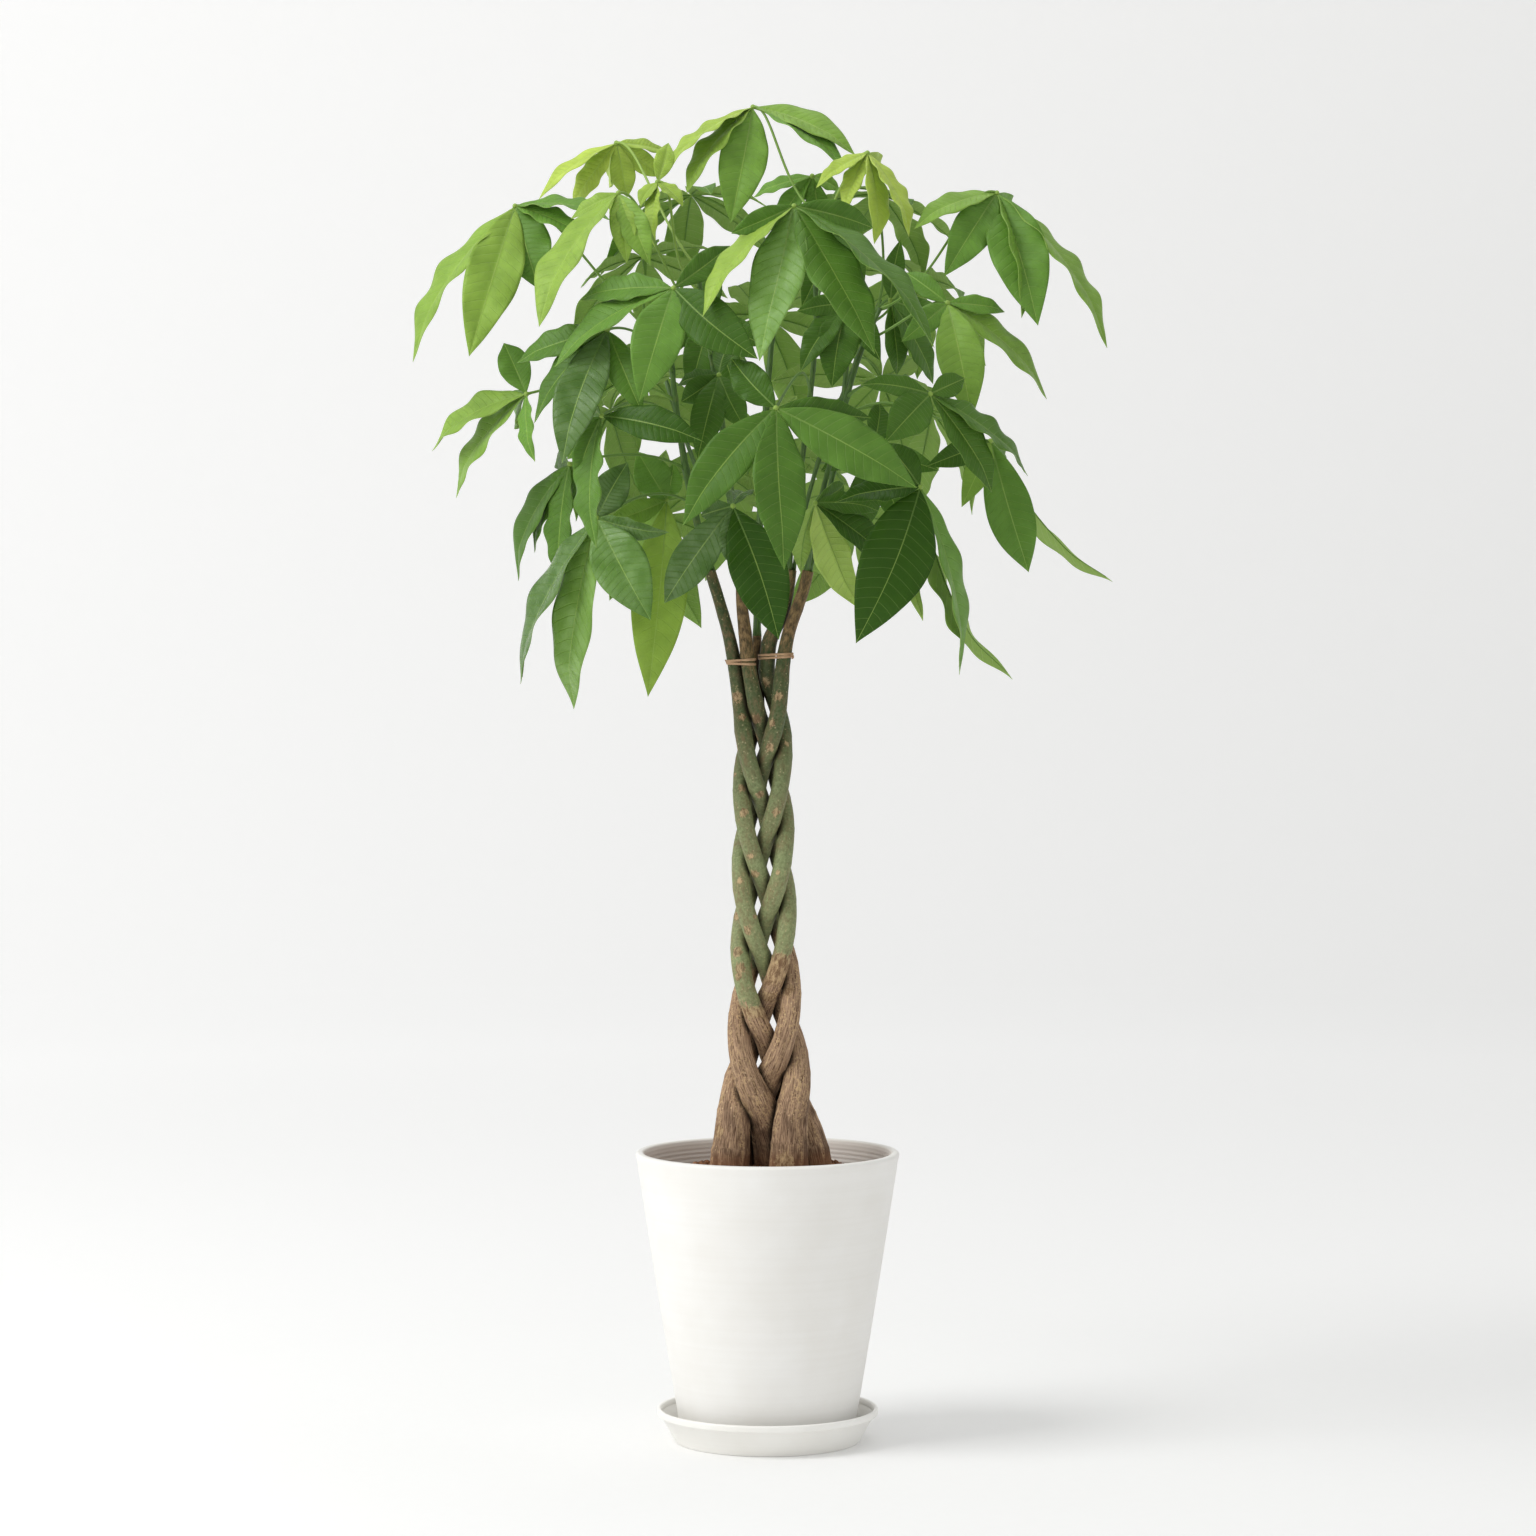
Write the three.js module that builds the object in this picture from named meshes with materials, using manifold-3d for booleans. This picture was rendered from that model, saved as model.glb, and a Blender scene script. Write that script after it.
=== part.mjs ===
// A potted money tree: five braided trunks in a white tapered pot on a saucer,
// with green shoots above the braid that carry hand-shaped compound leaves.
// Millimetres, +Z up. The origin is the centre of the saucer's underside.

import * as THREE from 'three';
import { mergeVertices } from 'three/addons/utils/BufferGeometryUtils.js';
import Module from 'manifold-3d';

const wasm = await Module();
wasm.setup();

// ---------------------------------------------------------------- driving dimensions

const GAP = 0.3;                    // clearance between pieces that touch
const ROUND_SEGMENTS = 40;
const SHOOT_SIDES = 7;
const TRUNK_SIDES = 9;

const POT_RIM_RADIUS = 150;
const POT_FOOT_RADIUS = 98;
const POT_HEIGHT = 325;
const POT_WALL = 8;
const POT_FLOOR = 12;
const DRAIN_RADIUS = 12;

const SAUCER_RIM_RADIUS = 126;
const SAUCER_FOOT_RADIUS = 106;
const SAUCER_HEIGHT = 38;
const SAUCER_WALL = 4;
const SAUCER_FLOOR = 5;
const SAUCER_LIP_HEIGHT = 8;

const SOIL_BELOW_RIM_AT_WALL = 38;
const SOIL_BELOW_RIM_AT_TRUNKS = 19;
const SOIL_MOUND_RADIUS = 95;

const TRUNK_FOOT_Z = 192;           // the trunks' lower ends, down in the soil
const BRAID_TOP_Z = 846;
const BRAID_PITCH = 446;            // height of one whole round of a strand
const BRAID_START_ANGLE = 54;       // degrees, of the first strand at BRAID_TURN_Z
const BRAID_TURN_Z = 836;           // the braid turns evenly from here down ...
const BRAID_SLOW_Z = 390;           // ... to here, and then runs out into the soil
const BRAID_RUN_OUT_TOP = 18;
const BRAID_RUN_OUT_FOOT = 40;
const BRAID_SQUARENESS = 0.1;       // flattens the crossings so that the strands clear
const STRAND_SPACING = 72;          // degrees between one strand and the next

const LEAF_THICKNESS = 1.3;
const PETIOLE_RADIUS = 1.7;
const PETIOLE_SPANS = 5;
const HUB_RADIUS = 4;
const LEAFLET_SLENDERNESS = 0.33;   // real width over length

const POT_FOOT_Z = SAUCER_FLOOR + GAP;
const POT_RIM_Z = POT_FOOT_Z + POT_HEIGHT;
const SOIL_WALL_Z = POT_RIM_Z - SOIL_BELOW_RIM_AT_WALL;
const SOIL_TOP_Z = POT_RIM_Z - SOIL_BELOW_RIM_AT_TRUNKS;

// ---------------------------------------------------------------- places read off the view
// Places on the plant are given as (column, row) in a square view of 1536 by 1536 pixels and
// a depth in millimetres behind the trunks' axis. The view stands in front of the plant.

const VIEW_CENTRE = 768;
const VIEW_AXIS_COLUMN = 767.5;
const VIEW_FOCAL = 4497;            // pixels
const VIEW_DISTANCE = 5100;
const VIEW_HEIGHT = 942;
const VIEW_PITCH = THREE.MathUtils.degToRad(1.97);

function fromView(column, row, depth) {
  const reach = VIEW_DISTANCE + depth;
  const slope = Math.tan(Math.atan((VIEW_CENTRE - row) / VIEW_FOCAL) - VIEW_PITCH);
  return new THREE.Vector3(
    (column - VIEW_AXIS_COLUMN) / VIEW_FOCAL * reach, depth, VIEW_HEIGHT + reach * slope);
}

function pixelSize(depth) {
  return (VIEW_DISTANCE + depth) / VIEW_FOCAL;
}

// ---------------------------------------------------------------- materials

function finish(color, roughness) {
  return new THREE.MeshStandardMaterial({ color, roughness, metalness: 0 });
}

const glazedWhite = () => finish(0xf2f1ee, 0.45);
const bakedClay = () => finish(0x8a4b2e, 0.95);
const bark = () => finish(0x7c6550, 0.85);
const raffia = () => finish(0xb98b65, 0.8);
const greenStem = () => finish(0x6f8f45, 0.6);
const leafGreen = () => finish(0x37763a, 0.45);

// ---------------------------------------------------------------- shared geometry

const UP = new THREE.Vector3(0, 0, 1);
const DEPTH_AXIS = new THREE.Vector3(0, 1, 0);

function lerpTable(rows, x) {
  if (x <= rows[0][0]) return rows[0][1];
  for (let i = 1; i < rows.length; i += 1) {
    const [x0, y0] = rows[i - 1];
    const [x1, y1] = rows[i];
    if (x <= x1) return y0 + (y1 - y0) * (x - x0) / (x1 - x0);
  }
  return rows[rows.length - 1][1];
}

function solidFromTriangles(positions, triangles) {
  const geometry = new THREE.BufferGeometry();
  geometry.setAttribute('position', new THREE.Float32BufferAttribute(positions, 3));
  geometry.setIndex(triangles);
  return geometry;
}

function toManifold(geometry) {
  const bare = geometry.clone();
  bare.deleteAttribute('normal');
  bare.deleteAttribute('uv');
  const merged = mergeVertices(bare, 1e-4);
  return new wasm.Manifold(new wasm.Mesh({
    numProp: 3,
    vertProperties: new Float32Array(merged.attributes.position.array),
    triVerts: new Uint32Array(merged.index.array),
  }));
}

function fromManifold(solid) {
  const mesh = solid.getMesh();
  return solidFromTriangles(Array.from(mesh.vertProperties), Array.from(mesh.triVerts));
}

// A closed profile of [radius, height] points, counter-clockwise, turned about the Z axis.
function turned(profile, segments) {
  const points = profile.map(([radius, height]) => new THREE.Vector2(radius, height));
  return new THREE.LatheGeometry(points, segments).rotateX(Math.PI / 2);
}

// A closed tube through a list of { centre, radius } stations, capped flat at both ends.
function taperedTube(stations, sides) {
  const positions = [];
  const triangles = [];
  const side = new THREE.Vector3();
  let across = null;
  stations.forEach((station, i) => {
    const before = stations[Math.max(i - 1, 0)].centre;
    const after = stations[Math.min(i + 1, stations.length - 1)].centre;
    const along = new THREE.Vector3().subVectors(after, before).normalize();
    if (!across) {
      const hint = Math.abs(along.z) > 0.8 ? new THREE.Vector3(1, 0, 0) : UP;
      across = hint.clone();
    }
    across.addScaledVector(along, -across.dot(along)).normalize();
    side.crossVectors(along, across);
    for (let k = 0; k < sides; k += 1) {
      const angle = 2 * Math.PI * k / sides;
      const point = station.centre.clone()
        .addScaledVector(across, station.radius * Math.cos(angle))
        .addScaledVector(side, station.radius * Math.sin(angle));
      positions.push(point.x, point.y, point.z);
    }
  });
  for (let i = 0; i + 1 < stations.length; i += 1) {
    for (let k = 0; k < sides; k += 1) {
      const a = i * sides + k;
      const b = i * sides + (k + 1) % sides;
      triangles.push(a, b, b + sides, a, b + sides, a + sides);
    }
  }
  const last = (stations.length - 1) * sides;
  for (let k = 1; k + 1 < sides; k += 1) {
    triangles.push(0, k + 1, k);
    triangles.push(last, last + k, last + k + 1);
  }
  return solidFromTriangles(positions, triangles);
}

// Evenly spaced stations along a smooth curve through hand-placed { at, radius } points.
function smoothStations(points, count) {
  const curve = new THREE.CatmullRomCurve3(points.map((p) => p.at), false, 'centripetal');
  const stations = [];
  for (let i = 0; i <= count; i += 1) {
    const t = i / count;
    const place = t * (points.length - 1);
    const low = Math.min(Math.floor(place), points.length - 2);
    const radius = THREE.MathUtils.lerp(points[low].radius, points[low + 1].radius, place - low);
    stations.push({ centre: curve.getPoint(t), radius });
  }
  return stations;
}

// ---------------------------------------------------------------- saucer and pot

function saucerGeometry() {
  const lip = SAUCER_WALL * 0.9;
  const lipFoot = SAUCER_HEIGHT - SAUCER_LIP_HEIGHT;
  return turned([
    [0, 0],
    [SAUCER_FOOT_RADIUS - 2, 0],
    [SAUCER_FOOT_RADIUS, 1.5],
    [SAUCER_RIM_RADIUS - lip - 1, lipFoot - 1],
    [SAUCER_RIM_RADIUS - 1, lipFoot],
    [SAUCER_RIM_RADIUS, lipFoot + 2],
    [SAUCER_RIM_RADIUS, SAUCER_HEIGHT - 2.5],
    [SAUCER_RIM_RADIUS - 1.5, SAUCER_HEIGHT],
    [SAUCER_RIM_RADIUS - lip, SAUCER_HEIGHT],
    [SAUCER_RIM_RADIUS - lip - 2, SAUCER_HEIGHT - 3],
    [SAUCER_FOOT_RADIUS - SAUCER_WALL + 0.5, SAUCER_FLOOR + 2],
    [SAUCER_FOOT_RADIUS - SAUCER_WALL - 3, SAUCER_FLOOR],
    [0, SAUCER_FLOOR],
  ], ROUND_SEGMENTS);
}

// The pot's outer radius at a height above its foot: a straight taper, a little fuller below.
function potOuterRadius(height) {
  const t = THREE.MathUtils.clamp(height / POT_HEIGHT, 0, 1);
  return POT_FOOT_RADIUS + (POT_RIM_RADIUS - POT_FOOT_RADIUS) * (1.06 * t - 0.06 * t * t);
}

function potGeometry() {
  const profile = [[DRAIN_RADIUS, POT_FOOT_Z], [POT_FOOT_RADIUS - 5, POT_FOOT_Z]];
  const outer = [4, 160, POT_HEIGHT - 6];
  outer.forEach((h) => profile.push([potOuterRadius(h), POT_FOOT_Z + h]));
  profile.push([POT_RIM_RADIUS - 0.8, POT_RIM_Z - 2]);
  profile.push([POT_RIM_RADIUS - 3, POT_RIM_Z]);
  profile.push([POT_RIM_RADIUS - POT_WALL + 2, POT_RIM_Z]);
  const inner = [POT_HEIGHT - 3, 160, POT_FLOOR + 4];
  inner.forEach((h) => profile.push([potOuterRadius(h) - POT_WALL, POT_FOOT_Z + h]));
  profile.push([potOuterRadius(POT_FLOOR) - POT_WALL - 4, POT_FOOT_Z + POT_FLOOR]);
  profile.push([DRAIN_RADIUS, POT_FOOT_Z + POT_FLOOR]);
  profile.push(profile[0]);
  return turned(profile, ROUND_SEGMENTS);
}

// ---------------------------------------------------------------- braided trunks

// Half width and half depth of the braid, and the strands' radius, by height.
const BRAID_HALF_WIDTH = [
  [230, 50], [308, 50], [345, 44], [383, 38.3], [440, 33.5], [495, 30.5],
  [551, 28.5], [607, 27], [665, 26], [750, 24.3], [835, 23.5], [882, 23]];
const BRAID_HALF_DEPTH = [[308, 31], [383, 26], [440, 23], [551, 20], [835, 19]];
const STRAND_RADIUS = [
  [230, 19], [308, 19.6], [330, 18.6], [345, 17.6], [383, 14.8], [440, 12.3], [495, 10.9],
  [551, 10.1], [607, 9.8], [665, 9.6], [750, 9.3], [820, 8.6], [846, 7.9]];
const BRAID_CENTRE_COLUMN = [[300, 769], [600, 764], [880, 762]];

function braidTurn(z) {
  const rate = 360 / BRAID_PITCH;
  if (z > BRAID_TURN_Z) {
    const rest = 1 - Math.exp(-(z - BRAID_TURN_Z) / BRAID_RUN_OUT_TOP);
    return BRAID_START_ANGLE - rate * BRAID_RUN_OUT_TOP * rest;
  }
  if (z < BRAID_SLOW_Z) {
    const rest = 1 - Math.exp(-(BRAID_SLOW_Z - z) / BRAID_RUN_OUT_FOOT);
    return BRAID_START_ANGLE + 360 + rate * BRAID_RUN_OUT_FOOT * rest;
  }
  return BRAID_START_ANGLE + rate * (BRAID_TURN_Z - z);
}

// One strand of the braid at a height: it runs a figure of eight about the braid's centre.
function strandPoint(strand, z) {
  const angle = THREE.MathUtils.degToRad(braidTurn(z) - STRAND_SPACING * strand);
  const middle = (lerpTable(BRAID_CENTRE_COLUMN, z) - VIEW_AXIS_COLUMN) * pixelSize(0);
  const swing = Math.sin(2 * angle) + BRAID_SQUARENESS * Math.sin(6 * angle);
  return new THREE.Vector3(
    middle + lerpTable(BRAID_HALF_WIDTH, z) * Math.sin(angle),
    lerpTable(BRAID_HALF_DEPTH, z) * swing,
    z);
}

// Above the braid each trunk runs on to its cut top: [column, row, depth, radius].
const TRUNKS = [
  { name: 'trunk_1', strand: 0, top: [
    [767, 660, 4, 7.6], [770, 640, 4, 7.2], [781, 617, 3, 6.8], [787, 597, 3, 6.6], [791, 570, 3, 6.5]] },
  { name: 'trunk_2', strand: 1, top: [
    [748, 662, -8, 6.8], [745, 632, -5, 6.6], [742, 605, -6, 6.4], [741, 585, -7, 6.2]] },
  { name: 'trunk_3', strand: 2, top: [
    [734, 660, 3, 6.8], [728, 632, 3, 6.6], [718, 597, 3, 6.5], [710, 571, 3, 6.5]] },
  { name: 'trunk_4', strand: 3, top: [
    [757, 664, 15, 5.4], [757, 650, 16, 5.2], [757, 636, 17, 5.2]] },
  { name: 'trunk_5', strand: 4, top: [
    [784, 656, -9, 7.5], [789, 632, -5, 7.2], [798, 606, -5, 6.8], [804, 588, -5, 6.6],
    [808, 571, -5, 6.5]] },
];
const BRAID_STEP = 22;              // height between the stations of a strand

function trunkStations(trunk, extra = 0) {
  const points = [];
  for (let z = TRUNK_FOOT_Z; z <= BRAID_TOP_Z; z += BRAID_STEP) {
    points.push({ at: strandPoint(trunk.strand, z), radius: lerpTable(STRAND_RADIUS, z) + extra });
  }
  trunk.top.forEach(([column, row, depth, radius]) => {
    points.push({ at: fromView(column, row, depth), radius: radius + extra });
  });
  return smoothStations(points, points.length - 1);
}

function soilGeometry(trunks) {
  const bottom = POT_FOOT_Z + POT_FLOOR + GAP;
  const profile = [[0, bottom], [potOuterRadius(POT_FLOOR) - POT_WALL - 5, bottom]];
  [POT_FLOOR + 6, 160, SOIL_WALL_Z - POT_FOOT_Z].forEach((h) => {
    profile.push([potOuterRadius(h) - POT_WALL - 2 * GAP, POT_FOOT_Z + h]);
  });
  profile.push([SOIL_MOUND_RADIUS + 26, SOIL_WALL_Z + 6]);
  profile.push([SOIL_MOUND_RADIUS, SOIL_TOP_Z - 3]);
  profile.push([SOIL_MOUND_RADIUS * 0.6, SOIL_TOP_Z]);
  profile.push([0, SOIL_TOP_Z]);
  let soil = toManifold(turned(profile, ROUND_SEGMENTS));
  trunks.forEach((trunk) => {
    const socket = trunkStations(trunk, GAP).filter((station) => station.centre.z < SOIL_TOP_Z + 40);
    soil = soil.subtract(toManifold(taperedTube(socket, TRUNK_SIDES)));
  });
  return fromManifold(soil);
}

// ---------------------------------------------------------------- ties round the top of the braid

const TIE_HEIGHT = 8;
const TIE_THICKNESS = 1.5;
const TIE_CLEARANCE = 0.7;
const KNOT_RADIUS = 3.2;
const KNOT_OFFSET = 2.6;

// The outline round two circles, as points: half a circle at each, joined straight.
function roundTwo(a, b, radius) {
  const along = Math.atan2(b.y - a.y, b.x - a.x);
  const points = [];
  [[b, -Math.PI / 2], [a, Math.PI / 2]].forEach(([centre, start]) => {
    for (let k = 0; k <= 8; k += 1) {
      const angle = along + start + Math.PI * k / 8;
      points.push(new THREE.Vector2(
        centre.x + radius * Math.cos(angle), centre.y + radius * Math.sin(angle)));
    }
  });
  return points;
}

function tieGeometry(tie) {
  const first = fromView(tie.first[0], tie.row, tie.first[1]);
  const second = fromView(tie.second[0], tie.row, tie.second[1]);
  const inner = tie.radius + TIE_CLEARANCE;
  const outline = new THREE.Shape(roundTwo(first, second, inner + TIE_THICKNESS));
  outline.holes.push(new THREE.Path(roundTwo(first, second, inner)));
  const band = new THREE.ExtrudeGeometry(outline, { depth: TIE_HEIGHT, bevelEnabled: false });
  band.translate(0, 0, first.z - TIE_HEIGHT / 2);
  const knotPlace = tie.knotOnFirst ? first : second;
  const outward = tie.knotOnFirst ? -1 : 1;
  const knot = new THREE.IcosahedronGeometry(KNOT_RADIUS, 1);
  knot.translate(knotPlace.x + outward * (inner + KNOT_OFFSET), knotPlace.y, knotPlace.z);
  return fromManifold(toManifold(band).add(toManifold(knot)));
}

const TIES = [
  { name: 'tie_left', first: [734.4, 3], second: [748, -8], row: 662, radius: 7.5, knotOnFirst: true },
  { name: 'tie_right', first: [767, 4], second: [784.5, -9], row: 656, radius: 8.6, knotOnFirst: false },
];

// ---------------------------------------------------------------- green shoots

// Each shoot stands on a trunk's cut top, beside: [x, y] off its middle where two share it.
// path: [column, row, depth, radius] from there upwards.
const SHOOTS = [
  { name: 'shoot_1', on: 'trunk_3', beside: [-1.9, 0.6], foot: 4, path: [
    [700, 535, 0, 4.2], [688, 480, -12, 4], [676, 405, -22, 3.4], [670, 340, -30, 2.6]] },
  { name: 'shoot_2', on: 'trunk_2', beside: [0, 0], foot: 4.8, path: [
    [736, 545, -22, 4.4], [728, 470, -58, 4], [714, 370, -92, 3.2], [696, 262, -105, 2.4]] },
  { name: 'shoot_3', on: 'trunk_4', beside: [0, 0], foot: 4.4, path: [
    [758, 575, 42, 4], [764, 440, 96, 3.8], [775, 310, 130, 3], [788, 222, 140, 2.4]] },
  { name: 'shoot_4', on: 'trunk_1', beside: [-2.6, -1.4], foot: 3.2, path: [
    [793, 520, -2, 3.2], [806, 430, -28, 3.2], [816, 320, -50, 2.8], [809, 206, -52, 2.2]] },
  { name: 'shoot_5', on: 'trunk_5', beside: [1.6, 2.8], foot: 2.9, path: [
    [820, 530, 14, 2.9], [836, 455, 48, 3], [846, 370, 66, 2.8], [852, 290, 74, 2.2]] },
  { name: 'shoot_6', on: 'trunk_5', beside: [-1.6, -2.8], foot: 2.9, path: [
    [816, 520, -36, 2.9], [836, 440, -72, 3], [858, 360, -88, 2.8], [880, 308, -92, 2.2]] },
  { name: 'shoot_7', on: 'trunk_3', beside: [4.5, -1], foot: 1.7, path: [
    [717, 545, 22, 2.2], [700, 480, 88, 2.6], [672, 400, 150, 2.4], [650, 320, 190, 2]] },
  { name: 'shoot_8', on: 'trunk_1', beside: [3.1, 2.4], foot: 2.2, path: [
    [800, 530, 50, 2.6], [822, 450, 118, 2.6], [852, 370, 170, 2.4], [880, 300, 205, 2]] },
];
const SHOOT_STUB = 7;               // straight foot of a shoot, square on the cut top

function shootStations(shoot) {
  const trunk = trunkStations(TRUNKS.find((one) => one.name === shoot.on));
  const top = trunk[trunk.length - 1].centre;
  const along = new THREE.Vector3().subVectors(top, trunk[trunk.length - 2].centre).normalize();
  const beside = new THREE.Vector3(shoot.beside[0], shoot.beside[1], 0);
  beside.addScaledVector(along, -beside.dot(along));
  const foot = top.clone().add(beside).addScaledVector(along, GAP);
  const stub = foot.clone().addScaledVector(along, SHOOT_STUB);
  const points = [{ at: stub, radius: shoot.foot }];
  shoot.path.forEach(([column, row, depth, radius]) => {
    points.push({ at: fromView(column, row, depth), radius });
  });
  return [{ centre: foot, radius: shoot.foot }, ...smoothStations(points, 8)];
}

// The station of a shoot at a height, between its two nearest stations.
function shootAt(name, z) {
  const stations = shootStations(SHOOTS.find((shoot) => shoot.name === name));
  for (let i = 1; i < stations.length; i += 1) {
    const low = stations[i - 1];
    const high = stations[i];
    if (z <= high.centre.z || i === stations.length - 1) {
      const t = THREE.MathUtils.clamp((z - low.centre.z) / (high.centre.z - low.centre.z), 0, 1);
      return {
        centre: low.centre.clone().lerp(high.centre, t),
        radius: THREE.MathUtils.lerp(low.radius, high.radius, t),
        along: new THREE.Vector3().subVectors(high.centre, low.centre).normalize(),
      };
    }
  }
  return stations[0];
}

// ---------------------------------------------------------------- leaves

const CROWN_HEART = new THREE.Vector3(0, 0, 1100);
const LEAFLET_STATIONS = [[0.11, 0.1], [0.42, 0.94], [0.76, 0.76]];   // [place, width]
const LEAFLET_BOW = 0.06;           // rise of the midrib over its length
const LEAFLET_FOLD = 0.16;          // lift of the margins over half the width

// Leaves seen in the view. hub: [column, row, depth]. on: [shoot, row of its node on the shoot].
// tips: [column, row, seen width in pixels, depth of the tip from the hub if it isn't worked out].
const SEEN_LEAVES = [
  { name: 'leaf_01', hub: [753, 107, 10], on: ['shoot_4', 210], tips: [
    [731, 221, 48], [660, 172, 14], [684, 190, 22], [856, 151, 25], [847, 165, 20], [748, 152, 18, 100]] },
  { name: 'leaf_02', hub: [617, 143, 40], on: ['shoot_2', 276], tips: [
    [538, 197, 12], [572, 205, 22], [628, 198, 25], [662, 177, 22], [674, 155, 12], [612, 185, 16, 100]] },
  { name: 'leaf_03', hub: [658, 182, -95], on: ['shoot_2', 300], tips: [
    [669, 142, 20], [652, 246, 16], [640, 205, 14], [684, 205, 14]] },
  { name: 'leaf_04', hub: [619, 193, -160], on: ['shoot_2', 330], tips: [
    [537, 324, 34], [571, 218, 16], [627, 262, 27], [650, 264, 30], [622, 228, 16, 100]] },
  { name: 'leaf_05', hub: [516, 206, -40], on: ['shoot_1', 350], tips: [
    [409, 358, 24], [470, 354, 56], [539, 288, 52], [611, 216, 14], [588, 237, 20], [532, 252, 18, 115]] },
  { name: 'leaf_06', hub: [674, 288, -250], on: ['shoot_2', 360], tips: [
    [579, 297, 27], [553, 364, 26], [640, 399, 52], [757, 358, 50], [731, 245, 27]] },
  { name: 'leaf_07', hub: [794, 206, -230], on: ['shoot_4', 280], tips: [
    [758, 359, 53], [698, 311, 22], [732, 233, 25], [876, 351, 50], [940, 339, 22], [874, 228, 30]] },
  { name: 'leaf_08', hub: [867, 153, -60], on: ['shoot_4', 240], tips: [
    [815, 185, 15], [843, 212, 20], [878, 242, 19], [912, 234, 15], [872, 188, 14, 95]] },
  { name: 'leaf_09', hub: [996, 193, -60], on: ['shoot_6', 315], tips: [
    [913, 224, 22], [945, 274, 42], [1025, 316, 25], [1037, 323, 58], [1111, 344, 20],
    [1002, 245, 18, 115]] },
  { name: 'leaf_10', hub: [947, 303, -130], on: ['shoot_6', 345], tips: [
    [1006, 310, 19], [1050, 396, 24], [971, 416, 47], [905, 272, 22], [902, 341, 25],
    [950, 335, 18, 105]] },
  { name: 'leaf_11', hub: [776, 408, -310], on: ['shoot_4', 400], tips: [
    [786, 568, 53], [918, 487, 53], [872, 417, 32], [682, 523, 48], [731, 358, 36]] },
  { name: 'leaf_12', hub: [930, 394, -240], on: ['shoot_6', 400], tips: [
    [965, 378, 25], [861, 383, 22], [887, 440, 42], [995, 491, 32], [1032, 472, 20]] },
  { name: 'leaf_13', hub: [920, 487, -190], on: ['shoot_6', 460], tips: [
    [857, 641, 72], [836, 499, 25], [885, 442, 32], [964, 674, 20], [1001, 683, 27], [917, 621, 27]] },
  { name: 'leaf_14', hub: [990, 441, -90], on: ['shoot_5', 420], tips: [
    [927, 466, 27], [962, 506, 27], [1029, 573, 47], [1106, 586, 20], [1000, 478, 18, 115]] },
  { name: 'leaf_15', hub: [602, 416, -245], on: ['shoot_1', 430], tips: [
    [702, 439, 36], [577, 487, 24], [594, 547, 27], [567, 460, 30], [596, 402, 18, 110]] },
  { name: 'leaf_16', hub: [608, 330, -215], on: ['shoot_1', 372], tips: [
    [561, 461, 48], [642, 412, 33], [516, 361, 28], [533, 422, 24], [602, 314, 18, 110]] },
  { name: 'leaf_17', hub: [527, 394, -90], on: ['shoot_1', 400], tips: [
    [429, 447, 24], [451, 495, 22], [532, 461, 16], [500, 330, 22], [520, 425, 16, 110]] },
  { name: 'leaf_18', hub: [570, 464, -60], on: ['shoot_1', 470], tips: [
    [511, 579, 24], [559, 582, 27], [531, 552, 20], [612, 530, 24, 50], [562, 448, 18, 110]] },
  { name: 'leaf_19', hub: [597, 518, -150], on: ['shoot_1', 505], tips: [
    [668, 534, 20], [650, 619, 56], [566, 711, 41], [514, 682, 22], [628, 462, 36], [590, 505, 16, 100]] },
  { name: 'leaf_20', hub: [667, 500, 60], on: ['shoot_7', 500], tips: [
    [648, 695, 56], [638, 452, 38], [674, 464, 24], [606, 523, 24], [640, 590, 30, 80]] },
  { name: 'leaf_21', hub: [733, 506, -200], on: ['shoot_2', 500], tips: [
    [663, 605, 41], [739, 572, 31], [779, 640, 60], [700, 516, 22], [748, 492, 20, 90]] },
  { name: 'leaf_22', hub: [812, 176, 90], on: ['shoot_3', 228], tips: [
    [752, 195, 14], [840, 190, 16], [797, 202, 20], [820, 232, 24], [770, 240, 22]] },
  { name: 'leaf_23', hub: [847, 304, -80], on: ['shoot_5', 310], tips: [
    [832, 386, 42], [800, 370, 28], [797, 311, 22], [880, 360, 26], [860, 250, 20]] },
  { name: 'leaf_24', hub: [890, 300, 60], on: ['shoot_5', 340], tips: [
    [935, 384, 26], [899, 377, 24], [950, 320, 24], [900, 240, 22]] },
  { name: 'leaf_25', hub: [815, 503, -100], on: ['shoot_6', 500], tips: [
    [857, 609, 37], [895, 564, 30], [800, 590, 24], [880, 510, 22], [846, 484, 20, 60]] },
  { name: 'leaf_26', hub: [719, 375, -150], on: ['shoot_2', 420], tips: [
    [681, 402, 27], [676, 384, 14], [698, 458, 34], [746, 430, 30], [735, 340, 20, 60]] },
  { name: 'leaf_27', hub: [712, 318, 20], on: ['shoot_3', 400], tips: [
    [690, 394, 34], [736, 392, 32], [655, 350, 24], [764, 345, 28], [708, 258, 22]] },
  { name: 'leaf_28', hub: [830, 235, 10], on: ['shoot_4', 310], tips: [
    [802, 306, 34], [864, 288, 26], [778, 262, 24], [880, 262, 24], [838, 232, 16, 100]] },
  { name: 'leaf_29', hub: [872, 452, 40], on: ['shoot_5', 470], tips: [
    [905, 530, 30], [850, 540, 34], [938, 470, 26], [822, 470, 26, -70], [880, 400, 24, 60]] },
];

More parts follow.
